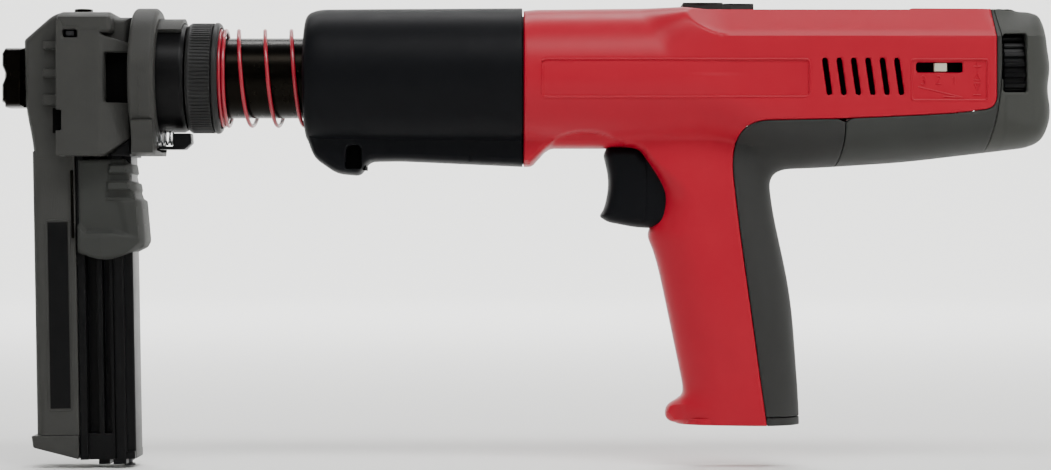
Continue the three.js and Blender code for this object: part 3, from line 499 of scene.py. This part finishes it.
CELL = 0.7  # grid of the rear's mouldings
LIP = 0.35  # how far their edges fall away at a seam
SKIN = 2.4  # wall of the red halves
REAR_ROWS = np.concatenate([np.arange(-136, 12, CELL), 12 + (ROOF - 12) * np.sin(np.linspace(0, np.pi / 2, 32))])
HANDLE_FOOT = -133.5
SEAM = [  # between the red halves and the dark pieces, from the foot of the handle to the tail
    (92.2, HANDLE_FOOT), (84.3, -77, 20), (81.2, -54, 10), (78.6, -30, 9), (83.5, -17.2, 9), (121, -16.6, 12),
    (162, -14.6, 8), (176.5, -12.8, 3), (178.6, -9.6, 1.5), (178.6, 40),
]
seam_line = fillet(SEAM, False, 8)


def offset(line, by):
    """A line moved sideways, to the right of its direction, by that many millimetres."""
    t = np.gradient(line, axis=0)
    t /= np.hypot(*t.T)[:, None]
    return line + np.column_stack([t[:, 1], -t[:, 0]]) * by


RED_RIM = np.vstack([[[-0.7, 40], [-0.7, -60], [30, HANDLE_FOOT]], offset(seam_line, -0.12)])


def arc(cx, cz, r, start_deg, end_deg, n=9):
    a = np.radians(np.linspace(start_deg, end_deg, n))
    return np.column_stack([cx + r * np.cos(a), cz + r * np.sin(a)])


def slot_line(x0, z0, x1, z1, width):
    """Outline of a slot with round ends between two points."""
    a = math.atan2(z1 - z0, x1 - x0)
    turn = np.linspace(-np.pi / 2, np.pi / 2, 9)
    r = width / 2
    end = np.column_stack([x1 + r * np.cos(a + turn), z1 + r * np.sin(a + turn)])
    begin = np.column_stack([x0 + r * np.cos(a + np.pi + turn), z0 + r * np.sin(a + np.pi + turn)])
    return np.vstack([end, begin])


VENTS = [slot_line(113.2 + 5.45 * i, 5.6, 115.0 + 5.45 * i, -6.9, 2.0) for i in range(6)]
WINDOW = fillet([(147.8, 4.7, 0.4), (165.4, 4.7, 0.4), (165.4, 0.9, 0.4), (147.8, 0.9, 0.4)])


def on_flank(line, sink=0.06, side=-1):
    """Lays a line of (x, z) on the rear's surface."""
    y = rear_half_width(line[:, 0], line[:, 1], None) - sink
    return np.column_stack([line[:, 0], side * y, line[:, 1]])


def dense(line, closed=True, step=0.8):
    """The same line with points no more than step apart."""
    a, b = segments(line, closed)
    out = [p + (q - p) * t for p, q in zip(a, b) for t in np.arange(0, 1, step / max(np.hypot(*(q - p)), step))]
    return np.array(out + [line[0] if closed else line[-1]])


def bead(line, side=-1):
    return sweep(on_flank(dense(line), side=side), 0.42, 8)


LABEL = fillet([(6.2, 6, 2), (107.6, 6, 2), (107.6, -8.3, 2), (6.2, -8.3, 2)])
DIAL = fillet([(146.0, 5.9, 1.2), (175.0, 5.9, 1.2), (175.0, -9.6, 1.2), (146.0, -9.6, 1.2)])


def digits():
    """The dial's 3, 2 and 1, its falling wedge, and the plus, arrows and minus beside it, as thin raised lines."""
    three = np.vstack([arc(150.3, -1.2, 0.75, 140, -80), arc(150.3, -2.75, 0.85, 85, -140)])
    two = np.vstack([arc(156.2, -1.25, 0.75, 160, -30), [[155.4, -3.5], [157.1, -3.5]]])
    one = np.array([[161.7, -1.2], [162.4, -0.6], [162.4, -3.5]])
    wedge = np.array([[148.6, -4.6], [165.6, -8.6], [158.0, -8.2]])
    marks = [three, two, one, wedge, np.array([[169.6, 3.2], [172.4, 3.2]]), np.array([[171, 4.5], [171, 1.8]]),
             np.array([[169.8, -2.0], [171, 0.6], [172.2, -2.0], [169.8, -2.0]]),
             np.array([[169.8, -3.2], [172.2, -3.2], [171, -5.8], [169.8, -3.2]]),
             np.array([[169.6, -7.6], [172.4, -7.6]])]
    return [sweep(on_flank(dense(m, False), 0.02), 0.3, 8) for m in marks]


# %% [markdown]
# ## Red halves
# Both halves have the vents and the label's border. The left half alone has the pointer's window and the dial.

# %% Red halves
BOSSES = [(6, -24.4, 12.3), (58.5, -62, 14.8), (62, -127.2, 11.8),
          (100, 16.8, 20.6), (136, 16.8, 20.6), (171, 16.8, 20.6)]  # x, z and the screw's face in y
WELLS = [arc(x, z, 3.5, 0, 345, 24) for x, z, _ in BOSSES]


def well(x, z, face):
    """The sleeve that a screw sits in: from 4 mm under its head's face up to just inside the right half's skin."""
    top = float(rear_half_width(np.array([x]), np.array([z]), None)[0]) - 1.2
    a = np.linspace(0, 2 * np.pi, 24, endpoint=False)
    y, r = np.array([face - 4, top, top, face - 4])[:, None], np.array([4.3, 4.3, 3.45, 3.45])[:, None]
    return weave(np.stack([x + r * np.cos(a), y + 0 * a, z + r * np.sin(a)], -1), True, True)


left = mould(RED_RIM, rear_half_width, VENTS + [WINDOW], CELL, LIP, "near", REAR_ROWS, rear_bend, 0.1, closed_lower)
piece("red_half_left", [left], "housing", RED, ["housing_left"], wall=SKIN, recalc=False)
piece("red_half_left_marks", [bead(LABEL), bead(DIAL), *digits()], "housing", RED)
right = mould(RED_RIM, rear_half_width, VENTS + WELLS, CELL, LIP, "far", REAR_ROWS, rear_bend, 0.1, closed_lower)
piece("red_half_right", [right], "housing", RED, ["housing_right"], wall=SKIN, recalc=False)
piece("red_half_right_marks", [bead(LABEL, side=1)], "housing", RED)
frame_end = fillet([(66.4, -0.3), (66.4, -5), (79.8, -5), (79.8, 5), (66.4, 5), (66.4, 0.3), (61, 0.3), (61.4, 8, 3),
                    (66, 12.6, 3), (91, 13.4), (91, -13.4), (66, -12.6, 3), (61.4, -8, 3), (61, -0.3)])
piece("handle_foot", [prism(frame_end, HANDLE_FOOT + 0.4, HANDLE_FOOT + 2.5)], "housing", RED)
piece("screw_wells", [well(*b) for b in BOSSES], "housing", RED)
# A flat black block behind the vents: painted shade seen through the openings.
piece("vent_painted_shade", [block((108, -20.4, -10), (170, 20.4, 8))], "housing", PAINTED_SHADE_BLACK)

# %% [markdown]
# ## Soft grip, lower cover and end cap
# These three are cut from the same surface, each as one closed moulding.

# %% Dark mouldings
grip_seam = offset(seam_line, 0.14)
JOINT = fillet([(121.1, -10), (121.0, -24, 6), (118.3, -38), (118.0, -44)], False)
GRIP_RIM = np.vstack([grip_seam[(grip_seam[:, 0] < 121) & (grip_seam[:, 1] > -130)], JOINT[JOINT[:, 1] < -16.7],
                      [[125, -60], [125, -130.1], [91.8, -130.1]]])
GRIP_FOOT = np.array([(92.0, -130.6), (125, -130.6), (125, HANDLE_FOOT), (92.4, HANDLE_FOOT)])
rear = dict(rows=REAR_ROWS, bend=rear_bend, within=closed_lower)
grip = [mould(rim, rear_half_width, (), CELL, LIP, **rear) for rim in (GRIP_RIM, GRIP_FOOT)]
piece("soft_grip", grip, "housing", GRIP, ["grip_back"])

TAIL = fillet([(175.4, -40), (176.2, -27, 5), (180.2, -6, 12), (180.6, 12, 8), (178.8, 40)], False)
cover_top = grip_seam[(grip_seam[:, 0] > 121.5) & (grip_seam[:, 1] < 39)]
joint_up = JOINT[::-1]
COVER_RIM = np.vstack([cover_top, TAIL[::-1], [[150, -60], [119, -60]], joint_up[joint_up[:, 1] < -16.7] + [0.4, 0]])
cover = mould(COVER_RIM, lambda x, z, s: rear_half_width(x, z, s) - 0.15, (), CELL, LIP, **rear)
piece("lower_cover", [cover], "housing", CHARCOAL, ["rear_lower_cover"])

CAP_RIM = np.vstack([TAIL + [0.3, 0], [[230, 40], [230, -60]]])
CAP_WINDOW = fillet([(180.9, 15.9, 0.8), (190.0, 15.9, 0.8), (190.0, -6.6, 0.8), (180.9, -6.6, 0.8)])


def cap_half_width(x, z, s):
    """The shared surface, 0.35 mm lower on a band beside the seam."""
    return rear_half_width(x, z, s) - 0.35 * (1 - smooth(181, 182.4, x))


cap = mould(CAP_RIM, cap_half_width, [CAP_WINDOW], 0.6, 0.4, **rear)
piece("end_cap", [cap], "housing", TAIL_GREY, ["rear_cap"])

# %% [markdown]
# ## Power wheel, pointer and strip guide
# The wheel's rim is a circle with 36 rounded ribs: r = 23 - 1.1 (1 - rib), where rib is a clipped cosine of 36 a.


# %% Wheel and pointer
def ribbed_wheel(x0, x1, radius, ribs, depth, hub):
    a = np.linspace(0, 2 * np.pi, ribs * 12, endpoint=False)
    rib = np.clip(0.5 + 1.3 * np.cos(ribs * a), 0, 1)
    profile = fillet([(x0, hub), (x0, radius, 0.7), (x1, radius, 0.7), (x1, hub)], True, 4)
    x, r = profile[:, 0, None], profile[:, 1, None]
    rr = r - depth * (1 - rib) * smooth(radius - 2.2, radius - 1.0, r)
    return weave(np.stack([x + 0 * a, rr * np.cos(a), rr * np.sin(a)], -1), True, True)


piece("power_wheel_rim", [ribbed_wheel(181.4, 189.6, 23.3, 36, 1.1, 5.4), lathe([(175.4, 0.01), (175.4, 5), (189, 5),
      (189, 0.01)], 48, False)], "wheel", JET, ["power_wheel"])
piece("pointer", [block((154.8, -23.9, 1.3), (159.6, -5, 4.5)),
                  lathe(fillet([(153.8, 2.9), (160.6, 2.9), (160.6, 5.1, 0.4), (153.8, 5.1, 0.4)]), 48)],
      "indicator", PALE, ["power_indicator"], bevel=0.3)
guide = [block((60.4, -8.7, 25.9), (66.9, 8.7, 28.7)), block((66.9, -8.7, 25.9), (75.8, -4.7, 28.7)),
         block((66.9, 4.7, 25.9), (75.8, 8.7, 28.7)), block((75.8, -8.7, 25.9), (79.1, -4.7, 28.3)),
         block((75.8, 4.7, 25.9), (79.1, 8.7, 28.3)), block((79.1, -8.7, 25.9), (87.6, 8.7, 28.3))]
piece("strip_guide_frame", guide, "housing", GRIP, ["strip_exit_guide"], bevel=0.35)
# A flat black plate under the strip guide: painted shade where the strip's way is open.
piece("strip_way_painted_shade", [block((66.7, -4.9, 25.9), (79.3, 4.9, 27.3))], "housing", PAINTED_SHADE_BLACK)

# %% [markdown]
# ## Trigger
# A closed moulding whose half width rises behind a rounded edge.

# %% Trigger
TRIGGER_RIM = fillet([(31.6, -26.4), (30.0, -29.5, 1.5), (32.4, -40, 7), (30.6, -50, 4), (28.4, -53.4, 1.2),
                      (31.6, -55.6, 2), (44, -58, 5), (57, -57.8), (57, -28.9), (46.4, -28.9), (45, -26.4)], True, 8)


def trigger_half(x, z, s):
    rim_distance = np.minimum(s, 60 - x)
    return 8.6 * roll(rim_distance, 4.5, 2.4) - 0.35 * smooth(0.5, 0, np.abs(x - 46.2 - 0.02 * (z + 40)))


def spring_pocket(x, z):
    """A round pocket 7 mm across, from x = 44.8 back."""
    return np.where(x > 44.8, np.sqrt(np.maximum(3.5**2 - (z + 43) ** 2, 0)), 0)


blade = mould(TRIGGER_RIM, trigger_half, (), 0.5, 0.2, core=spring_pocket)
piece("trigger_blade", [blade], "trigger", CASING, ["trigger"])
return_coil = piece("trigger_coil", [helix(45.3, 64.6, 2.6, 0.45, 5, 0.75, z=-43, steps=32, sides=8)],
                    "housing", BRIGHT, ["trigger_spring"])
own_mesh(return_coil)
striker_coil = piece("striker_coil", [helix(114.4, 136.9, 5.8, 0.6, 4.5, 0.75, steps=32, sides=8)], "housing", BRIGHT,
                     ["striker_spring"])
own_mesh(striker_coil)

# %% [markdown]
# ## Barrel casing
# A profile spun round the bore, open at the mouth, and a keel set under it as a closed moulding with a slot.

# %% Casing
shell = fillet([(-1.2, 27.1, 0.5), (-79.6, 26.6, 3.5), (-84.4, 24.8, 2.4), (-85.1, 20.6, 1.0), (-81.6, 20.4, 0.5),
                (-81.6, 23.4), (-1.2, 24.2)], True, 8)
KEEL_RIM = fillet([(-1.2, -10), (-84.6, -10), (-84.9, -22, 3), (-81.6, -31, 3), (-72.8, -37, 3), (-63.4, -37.9, 2.4),
                   (-60.4, -32.4, 3), (-48, -32.2, 4), (-1.2, -34.3)], True, 8)
KEEL_SLOT = fillet([(-69.2, -35.2, 1), (-68.6, -26, 2.4), (-63.0, -26, 2.4), (-62.6, -35.2, 1)], True, 8)


keel_d = segments(KEEL_RIM[2:], closed=False)


def keel_width(x, z, s):
    d, _ = nearest(keel_d, np.column_stack([x, z]))
    return 11.8 * roll(d, 3.0, 2.6) + 0.5 * smooth(-26, -18, z)


keel = mould(KEEL_RIM, keel_width, [KEEL_SLOT], 0.6, 0.3)
ring_mark = sweep(np.array([[-21.5, -11.9, -27.6], [-21.3, -11.95, -32.6]]), 0.25, 8)
spigot = [lathe([(-6, 23.9), (3.5, 23.9), (3.5, 21), (-6, 21)], 96), block((-5, -9.4, -33.2), (1.6, 9.4, -22))]
piece("barrel_casing", [lathe(shell, 128), keel, ring_mark, *spigot], "housing", CASING, ["front_casing"])
# A flat black block behind the keel's slot: painted shade in the opening.
piece("casing_slot_painted_shade", [block((-70.6, -7.5, -35.6), (-61.4, 7.5, -24.4))], "housing", PAINTED_SHADE_BLACK)

# %% [markdown]
# ## Nose: barrel, sleeve, knurled ring and contact spring
# The knurl is a circle of 60 ribs that fades out at both ends of its band.

# %% Nose
barrel = fillet([(-150.4, 4.4), (-150.4, 15.5), (46.6, 15.5, 0.8), (48, 14.2, 0.6), (48, 10.2), (-56, 10.2),
                 (-56, 4.4)])
piece("barrel", [lathe(barrel, 96)], "nose", BLUED, ["barrel_tube"])
sleeve = fillet([(-150.4, 15.9), (-150.4, 21, 0.4), (-131.8, 21, 0.5), (-130.2, 20.2, 0.4), (-130.2, 15.9)])
piece("sleeve", [lathe(sleeve, 96)], "nose", JET, ["adapter_sleeve"])


def knurled(profile, band, teeth, depth, turns=960):
    a = np.linspace(0, 2 * np.pi, turns, endpoint=False)
    x, r = profile[:, 0, None], profile[:, 1, None]
    cut = smooth(band[0], band[0] + 0.5, x) * smooth(band[1], band[1] - 0.5, x) * (r > 19)
    rr = r - depth * cut * np.clip(0.5 + 1.2 * np.cos(teeth * a), 0, 1)
    return weave(np.stack([x + 0 * a, rr * np.cos(a), rr * np.sin(a)], -1), True, True)


ring_outer = [(-129.7, 15.9), (-129.7, 20.6, 0.4), (-128.6, 21.3, 0.4), (-128.2, 21.3)]
ring_outer += [(x, 21.3) for x in np.linspace(-127.9, -120.5, 9)]
ring_outer += [(-120.2, 21.3), (-119.9, 20.4, 0.2), (-119.4, 21.5, 0.2), (-118.2, 21.5, 0.6), (-117.3, 20.6, 0.3),
               (-117.5, 19.7), (-118.6, 19.5), (-118.6, 15.9)]
piece("ring_with_knurl", [knurled(fillet(ring_outer), (-128.2, -120.2), 92, 0.45)], "ring", KNURL, ["knurled_ring"])
SPRING = dict(x0=-118.1, x1=-56.5, radius=18.4, wire=0.78, turns=5.4, closed_turns=1.6, phase=-0.97)
spring = piece("pressing_spring", [helix(**SPRING, steps=64, sides=12)], "housing", LACQUER, ["contact_spring"])
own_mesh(spring)

# %% [markdown]
# ## Magazine collar and catch

# %% Collar
ring = fillet([(-150.7, 21.4), (-150.7, 26.0, 0.6), (-149.6, 27, 0.6), (-142.2, 27, 0.6), (-140.7, 25.6, 0.5),
               (-140.7, 21.4)])
LUG = fillet([(-150.7, -16), (-150.7, -30.2, 0.8), (-140.7, -30.2, 0.8), (-140.7, -16)])


def lug_half_width(x, z, s):
    """Part of an ellipse, which goes on straight below z = -24 and is rounded by 1 mm."""
    return np.sqrt(np.maximum(24.8**2 - (np.maximum(z, -24) ** 2) * 0.36, 1)) * roll(s, 1.0)


def catch_notch(x, z):
    """A slot for the catch's tongue, 14.8 mm to each side."""
    return 14.8 * ((x > -145.1) & (np.abs(z + 27.3) < 1.3))


lug = mould(LUG, lug_half_width, (), 0.5, 0.1, core=catch_notch)
tab_x, tab_a = np.linspace(-141.5, -131.6, 12), np.radians(np.linspace(52, 128, 40))
outer = np.stack([tab_x[:, None] + 0 * tab_a, 22.9 * np.cos(tab_a) + 0 * tab_x[:, None],
                  22.9 * np.sin(tab_a) + 0 * tab_x[:, None]], -1)
inner = outer * [1, 21.4 / 22.9, 21.4 / 22.9]
tab = weave(np.concatenate([outer, inner[::-1]]), True, False)
tab_ends = [[i * 40 + e for i in range(24)] for e in (0, 39)]
tab = (tab[0], tab[1] + tab_ends)
step = sweep(np.array([[-146.3, -26.9 * math.cos(a), 26.9 * math.sin(a)]
                       for a in np.radians(np.linspace(-2, -60, 24))]), 0.3, 8)
piece("collar", [lathe(ring, 128), lug, tab, step], "magazine", HEAD, ["magazine_collar"])
CATCH = fillet([(-134.7, -21.7), (-128, -21.7, 0.4), (-127.7, -25.4, 0.4), (-130.4, -27.9, 0.4), (-140.2, -27.9),
                (-140.2, -26.7), (-134.7, -26.7)])
catch = mould(CATCH, lambda x, z, s: 0 * x + 4.5, (), 0.35, 0.3)
catch = (catch[0] + [0, -9.5, 0], catch[1])
piece("catch_slider", [catch], "catch", JET, ["catch_button"])
catch_return = piece("catch_coil", [helix(-143.2, -134.9, 2.5, 0.4, 3.5, 0.75, y=-9.5, z=-23.4, steps=32, sides=8)],
                     "magazine", BRIGHT, ["catch_spring"])
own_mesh(catch_return)

# %% [markdown]
# ## Magazine head
# A central spine 13 mm to each side of the middle, and a pair of thicker cheeks with facets, windows and a lid.

# %% Head
SPINE = fillet([(-193.0, 14.6, 1), (-182.6, 23.7, 1.5), (-179.6, 25.2, 1.5), (-161.4, 25.2, 1.5), (-156.6, 23.4, 1.5),
                (-151.2, 23.4), (-151.2, -30.2), (-173, -30.2), (-173, -33.6), (-188.8, -33.6), (-190.0, -24, 4),
                (-192.4, -12, 4)])


def nail_bore(x, z):
    """A round bore 9 mm across, along the middle."""
    return np.sqrt(np.maximum(4.5**2 - z**2, 0))


spine = mould(SPINE, lambda x, z, s: 13.2 * roll(s, 3.0, 2.2), (), 0.55, 0.1, core=nail_bore)
CHEEK = fillet([(-178.3, 21.4, 1), (-161.4, 21.4, 0.6), (-161.4, 15.6, 0.6), (-151.2, 12.6), (-151.2, -24.0, 0.6),
                (-161.2, -30.5, 0.6), (-178.3, -30.5, 1)])
RECESS = fillet([(-160.2, 9.0, 0.8), (-150, 9.0), (-150, -10.2), (-160.2, -10.2, 0.8)])
EYE = fillet([(-175.8, 17.5, 0.4), (-170.2, 17.5, 0.4), (-170.2, 14.4, 0.4), (-175.8, 14.4, 0.4)])
SLOT = fillet([(-179.6, -12.9, 0.5), (-176.2, -12.9, 0.5), (-176.2, -20.9, 0.5), (-179.6, -20.9, 0.5)])


def cheek_half(x, z, s):
    """22 mm to each side, falling away on the facets towards the collar."""
    return 22 - 0.62 * np.maximum(x + 161.4, 0) - 0.25 * smooth(0.6, 0, np.abs(x + 161.4))


cheek = mould(CHEEK, cheek_half, [RECESS, EYE, SLOT], 0.5, 0.45, core=nail_bore)
LID = fillet([(-177.4, 24.7, 1), (-158, 24.7, 1.2), (-156.9, 16.6, 1.5), (-160, 16.2, 1), (-175.4, 16.2, 1),
              (-178.3, 22, 0.5)])
lid = mould(LID, lambda x, z, s: 22.3 * (0.9 + 0.1 * roll(s, 2)) - 5.5 * np.maximum(z - 22.4, 0) * 0.5, [EYE], 0.5, 0.5)
PAD_HEIGHTS = ((10.4, 13.4), (-0.4, 2.8), (-11.0, -7.0))
pads = [block((-184.2, side * 13.0, z0), (-178.0, side * 15.8, z1)) for side in (-1, 1) for z0, z1 in PAD_HEIGHTS]
piece("head", [spine, cheek, lid], "magazine", HEAD, ["magazine_head"])
piece("head_pads", pads, "magazine", HEAD, bevel=0.5)
# Flat black plates behind the cheeks' recess, eye and slot: partly the recess's own black, partly painted shade in the
# holes.
recess_black_and_shade_plates = [block((-176.6, -18.6, 13.8), (-169.4, 18.6, 18.2)), block((-161.0, -14.6, -11), (-151.4, -6, 9.8)),
                  block((-161.0, 6, -11), (-151.4, 14.6, 9.8)), block((-180.4, -15.6, -21.6), (-175.6, 15.6, -12.2))]
piece("head_recess_black_and_painted_shade", recess_black_and_shade_plates, "magazine", PAINTED_SHADE_BLACK)
piece("latch_plate", [block((-174.9, -19.6, 15.2), (-171.6, -18.4, 17.1))], "magazine", SCREW, ["stop_latch"],
      bevel=0.2)
WEDGE = fillet([(-158, -29.6), (-150.9, -24.2), (-150.9, -30.4), (-158, -30.4)])
piece("head_wedge", [mould(WEDGE, lambda x, z, s: 0 * x + 16.5, (), 0.4, 0.3)], "magazine", JET)
nose_rim = fillet([(-200.3, 11.5, 0.5), (-201.6, 9.3, 0.5), (-201.6, 4.6, 0.6), (-200.4, 1.6, 0.8),
                   (-200.4, 0.2, 0.8), (-201.6, -2.8, 0.6), (-201.6, -9.4, 0.4), (-200.6, -9.8, 0.3),
                   (-200.4, -11.5, 0.4), (-192.8, -11.5), (-192.8, 11.5)])
tip = mould(nose_rim, lambda x, z, s: 9.5 * roll(s + 0.3, 1.8), (), 0.4, 0.2, core=nail_bore)
muzzle = lathe(fillet([(-200.6, 4.2), (-200.6, 5.6, 0.3), (-187.4, 7.0), (-187.4, 4.2)]), 64)
piece("contact_tip", [tip, muzzle], "magazine", BLUED, ["nosepiece"])

# %% [markdown]
# ## Magazine track
# Upright sections, leaned back by one degree.

# %% Track
def track(section, z0, z1):
    return leaned(prism(np.asarray(section), z0, z1))


BODY = fillet([(-189.1, -13, 4), (-172.6, -13, 0.5), (-172.6, -4.3), (-187, -4.3), (-187, 4.3), (-172.6, 4.3),
               (-172.6, 13, 0.5), (-189.1, 13, 4)], True, 6)
piece("track_body", [track(BODY, -137.2, -28.4)], "magazine", HEAD, ["magazine_body"])
PLATE = fillet([(-184.1, -55, 1.6), (-174.8, -55, 1.6), (-174.8, -127.8, 1.6), (-184.1, -127.8, 1.6)])
line = dense(PLATE)
borders = [leaned(sweep(np.column_stack([line[:, 0], np.full(len(line), side * 12.98), line[:, 1]]), 0.28, 8))
           for side in (-1, 1)]
piece("track_label_border", borders, "magazine", HEAD)
plates = [block((-183.3, min(side * 12.5, side * 13.12), -127), (-175.6, max(side * 12.5, side * 13.12), -55.8))
          for side in (-1, 1)]
piece("track_label_plate", [leaned(p) for p in plates], "magazine", JET)
half = [(-172.4, -12.2, 0.4), (-169.3, -12.2, 0.4), (-169.3, -5.4), (-165.3, -5.4), (-165.3, -10.6, 0.4),
        (-163.1, -10.6, 0.4), (-163.1, -5.4), (-160.3, -5.4), (-160.3, -10.8, 0.3), (-159.0, -10.8, 0.2), (-158.9, -10.2), (-158.5, -10.2),
        (-158.4, -11.6, 0.3), (-154.8, -11.6, 0.6), (-154.6, -9.4, 0.3), (-151.4, -9.4, 1.0)]
nail_way = [(-172.4, 4.3), (-158, 4.3), (-158, -4.3), (-172.4, -4.3)]
RAIL = fillet(half + [(x, -y, *r) for x, y, *r in half[::-1]] + nail_way, True, 4)
shoes = [block((x0, min(side * 4.4, side * y1), z0), (x1, max(side * 4.4, side * y1), z1)) for side in (-1, 1)
         for x0, x1, y1, z0, z1 in ((-169.4, -159.9, 10.7, -146.9, -136.9), (-159.9, -154.9, 11.5, -148.8, -146.8))]
tie = block((-158.4, -11, -146.9), (-151.6, 11, -144))
stub = block((-166.4, -5, -149.2), (-162.2, 5, -145.5))
piece("track_rail", [track(RAIL, -146.9, -29.8), *map(leaned, (*shoes, tie, stub))], "magazine", JET, ["magazine_rail"])
FOOT = fillet([(-191.1, -13.4, 2), (-172.9, -13.4, 0.5), (-172.9, -4.4), (-187, -4.4), (-187, 4.4), (-172.9, 4.4),
               (-172.9, 13.4, 0.5), (-191.1, 13.4, 2)], True, 4)
foot, faces = prism(FOOT, -147.2, -137.4)
low = foot[:, 2] < -140
foot[low, 2] += np.interp(foot[low, 0], [-191.1, -172.9], [5.4, 0.6])
foot[low, 0] += np.interp(foot[low, 0], [-191.1, -172.9], [0.6, 0])
piece("track_foot", [leaned((foot, faces))], "magazine", HEAD, ["magazine_foot"], bevel=0.35)

SLIDER = fillet([(-171.7, -31.8, 0.5), (-153.6, -31.8, 0.4), (-152.4, -33.4, 0.3), (-151.2, -34, 0.3),
                 (-150.8, -37.4, 0.3), (-151.8, -38, 0.3), (-151.4, -40.8, 0.3), (-149.8, -41.2, 0.3),
                 (-149.2, -44, 0.3), (-150, -44.6, 0.3), (-149.4, -47.2, 0.6), (-147.6, -47.8, 1),
                 (-146.4, -63.6, 1.5), (-147.6, -66, 1), (-154.6, -69, 2), (-160.6, -70.6, 2),
                 (-165.6, -69.8, 1.5), (-171.7, -67.6, 1)])


def slider_half(x, z, s):
    """A flat side with three ribs, a flared lip below it, and the rear corner cut away at a slant."""
    lip = smooth(-58.6, -60.6, z - 2.6 * smooth(-168, -171.6, x) + 0.3 * np.maximum(x + 158, 0))
    width = mix(13.0, 16.8 - 0.13 * np.abs(z + 62) - 0.2 * np.maximum(x + 162.5, 0), lip)
    width += 0.9 * smooth(-157.6, -153.6, x + 0.2 * (z + 47)) * (1 - lip) * smooth(-46.8, -48.6, z)
    ribs = smooth(-160.2, -159.4, x - 0.12 * (z + 40)) * smooth(-47.8, -46.8, z)
    width += ribs * (2.2 * np.clip(0.5 + 1.6 * np.cos((z + 35.8) * 2 * np.pi / 6.4), 0, 1) - 0.5)
    back = np.interp(z, [-69, -64, -48, -44, -34], [-152, -146.2, -147.2, -149.2, -150.8])
    width = np.minimum(width, 8.5 + 2.4 * np.maximum(back - x, 0))
    return width * (0.9 + 0.1 * roll(s, 1.6))


slider = mould(SLIDER, slider_half, (), 0.45, 0.35)
piece("slider_grip", [leaned(slider)], "slider", CHARCOAL, ["magazine_slider"])

# %% [markdown]
# ## Pieces kept from the part
# Small or hidden solids are shown as they are, with the material of the real thing and a small bevel.

# %% Kept solids
KEPT = {
    BRIGHT: ["piston", "piston_ring_1", "piston_ring_2", "breech_block", "striker",
             "feed_pawl", "pawl_pin", "regulator_spindle", "stop_ring", "follower_spring", "cartridge_channel"],
    BLUED: ["head_stud", "spring_seat", "striker_tube", "nail_pusher"],
    SCREW: [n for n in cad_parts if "screw" in n],
    BUFFER: ["buffer_ring"],
}
for material, names in KEPT.items():
    for name in names:
        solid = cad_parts[name]
        solid.data.materials.clear()
        solid.data.materials.append(material)
        weld = solid.modifiers.new("weld", "WELD")
        weld.merge_threshold = 1e-5
        rounded = solid.modifiers.new("edges", "BEVEL")
        rounded.width, rounded.segments, rounded.limit_method = 0.0002, 2, "ANGLE"
        rounded.angle_limit = math.radians(40)

# %% [markdown]
# ## Studio
# A white bowl of floor and wall, large soft lights above, a fill, and a camera a little over a metre away.

# %% Studio
turn = np.linspace(0, np.pi / 2, 16)
rise = np.column_stack([3 + 1.5 * np.sin(turn), 1.5 - 1.5 * np.cos(turn)])
bowl = np.vstack([[[1e-6, 0], [1, 0], [2, 0]], rise, [[4.5, 3.2]]])
a = np.linspace(0, 2 * np.pi, 64, endpoint=False)
spun = np.stack([bowl[:, 0, None] * np.cos(a), bowl[:, 0, None] * np.sin(a), bowl[:, 1, None] + 0 * a], -1)
floor_points, floor_faces = weave(spun, False, True)
floor_mesh = bpy.data.meshes.new("floor")
floor_mesh.from_pydata(floor_points.tolist(), [], floor_faces)
floor_mesh.shade_smooth()
floor = bpy.data.objects.new("floor", floor_mesh)
bpy.context.scene.collection.objects.link(floor)
white, tree, place = start("white paper sweep")
close(white, tree, Base_Color=linear("F4F4F2"), Roughness=blotch(tree, place, 300, 0.85, 0.95))
floor_mesh.materials.append(white)
floor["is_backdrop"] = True


def area(name, at, towards, size, power, colour=(1, 1, 1)):
    lamp = bpy.data.lights.new(name, "AREA")
    lamp.shape, lamp.size, lamp.size_y, lamp.energy, lamp.color = "RECTANGLE", size[0], size[1], power, colour
    made = bpy.data.objects.new(name, lamp)
    bpy.context.scene.collection.objects.link(made)
    made.location = at
    direction = np.array(towards, float) - np.array(at, float)
    made.rotation_euler = (math.acos(-direction[2] / np.linalg.norm(direction)), 0,
                           math.atan2(direction[1], direction[0]) - math.pi / 2)
    return made


area("key", (0.55, -1.15, 1.6), (0, 0, 0.12), (1.3, 0.6), 14)
area("top strip", (0.05, -0.5, 0.95), (0, 0, 0.15), (1.3, 0.25), 6)
area("fill", (1.5, -1.1, 0.6), (-0.1, 0, 0.12), (0.8, 0.8), 5)
area("back wall", (0, 1.4, 2.6), (0, 4.2, 0.4), (3.0, 0.8), 260)
area("rear top", (0, 1.4, 2.0), (0, 0, 0.1), (1.6, 0.6), 9)
world = bpy.data.worlds.new("studio")
bpy.context.scene.world = world
world.use_nodes = True
world.node_tree.nodes["Background"].inputs[0].default_value = (0.95, 0.97, 1.0, 1.0)
world.node_tree.nodes["Background"].inputs[1].default_value = 0.12

camera_data = bpy.data.cameras.new("camera")
camera_data.lens, camera_data.sensor_width = 96.0, 36.0
camera = bpy.data.objects.new("camera", camera_data)
bpy.context.scene.collection.objects.link(camera)
camera.location = (0.0, -1.085, 0.0894)
camera.rotation_euler = (math.pi / 2, 0, 0)
bpy.context.scene.camera = camera

# %% Finish
low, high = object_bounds()
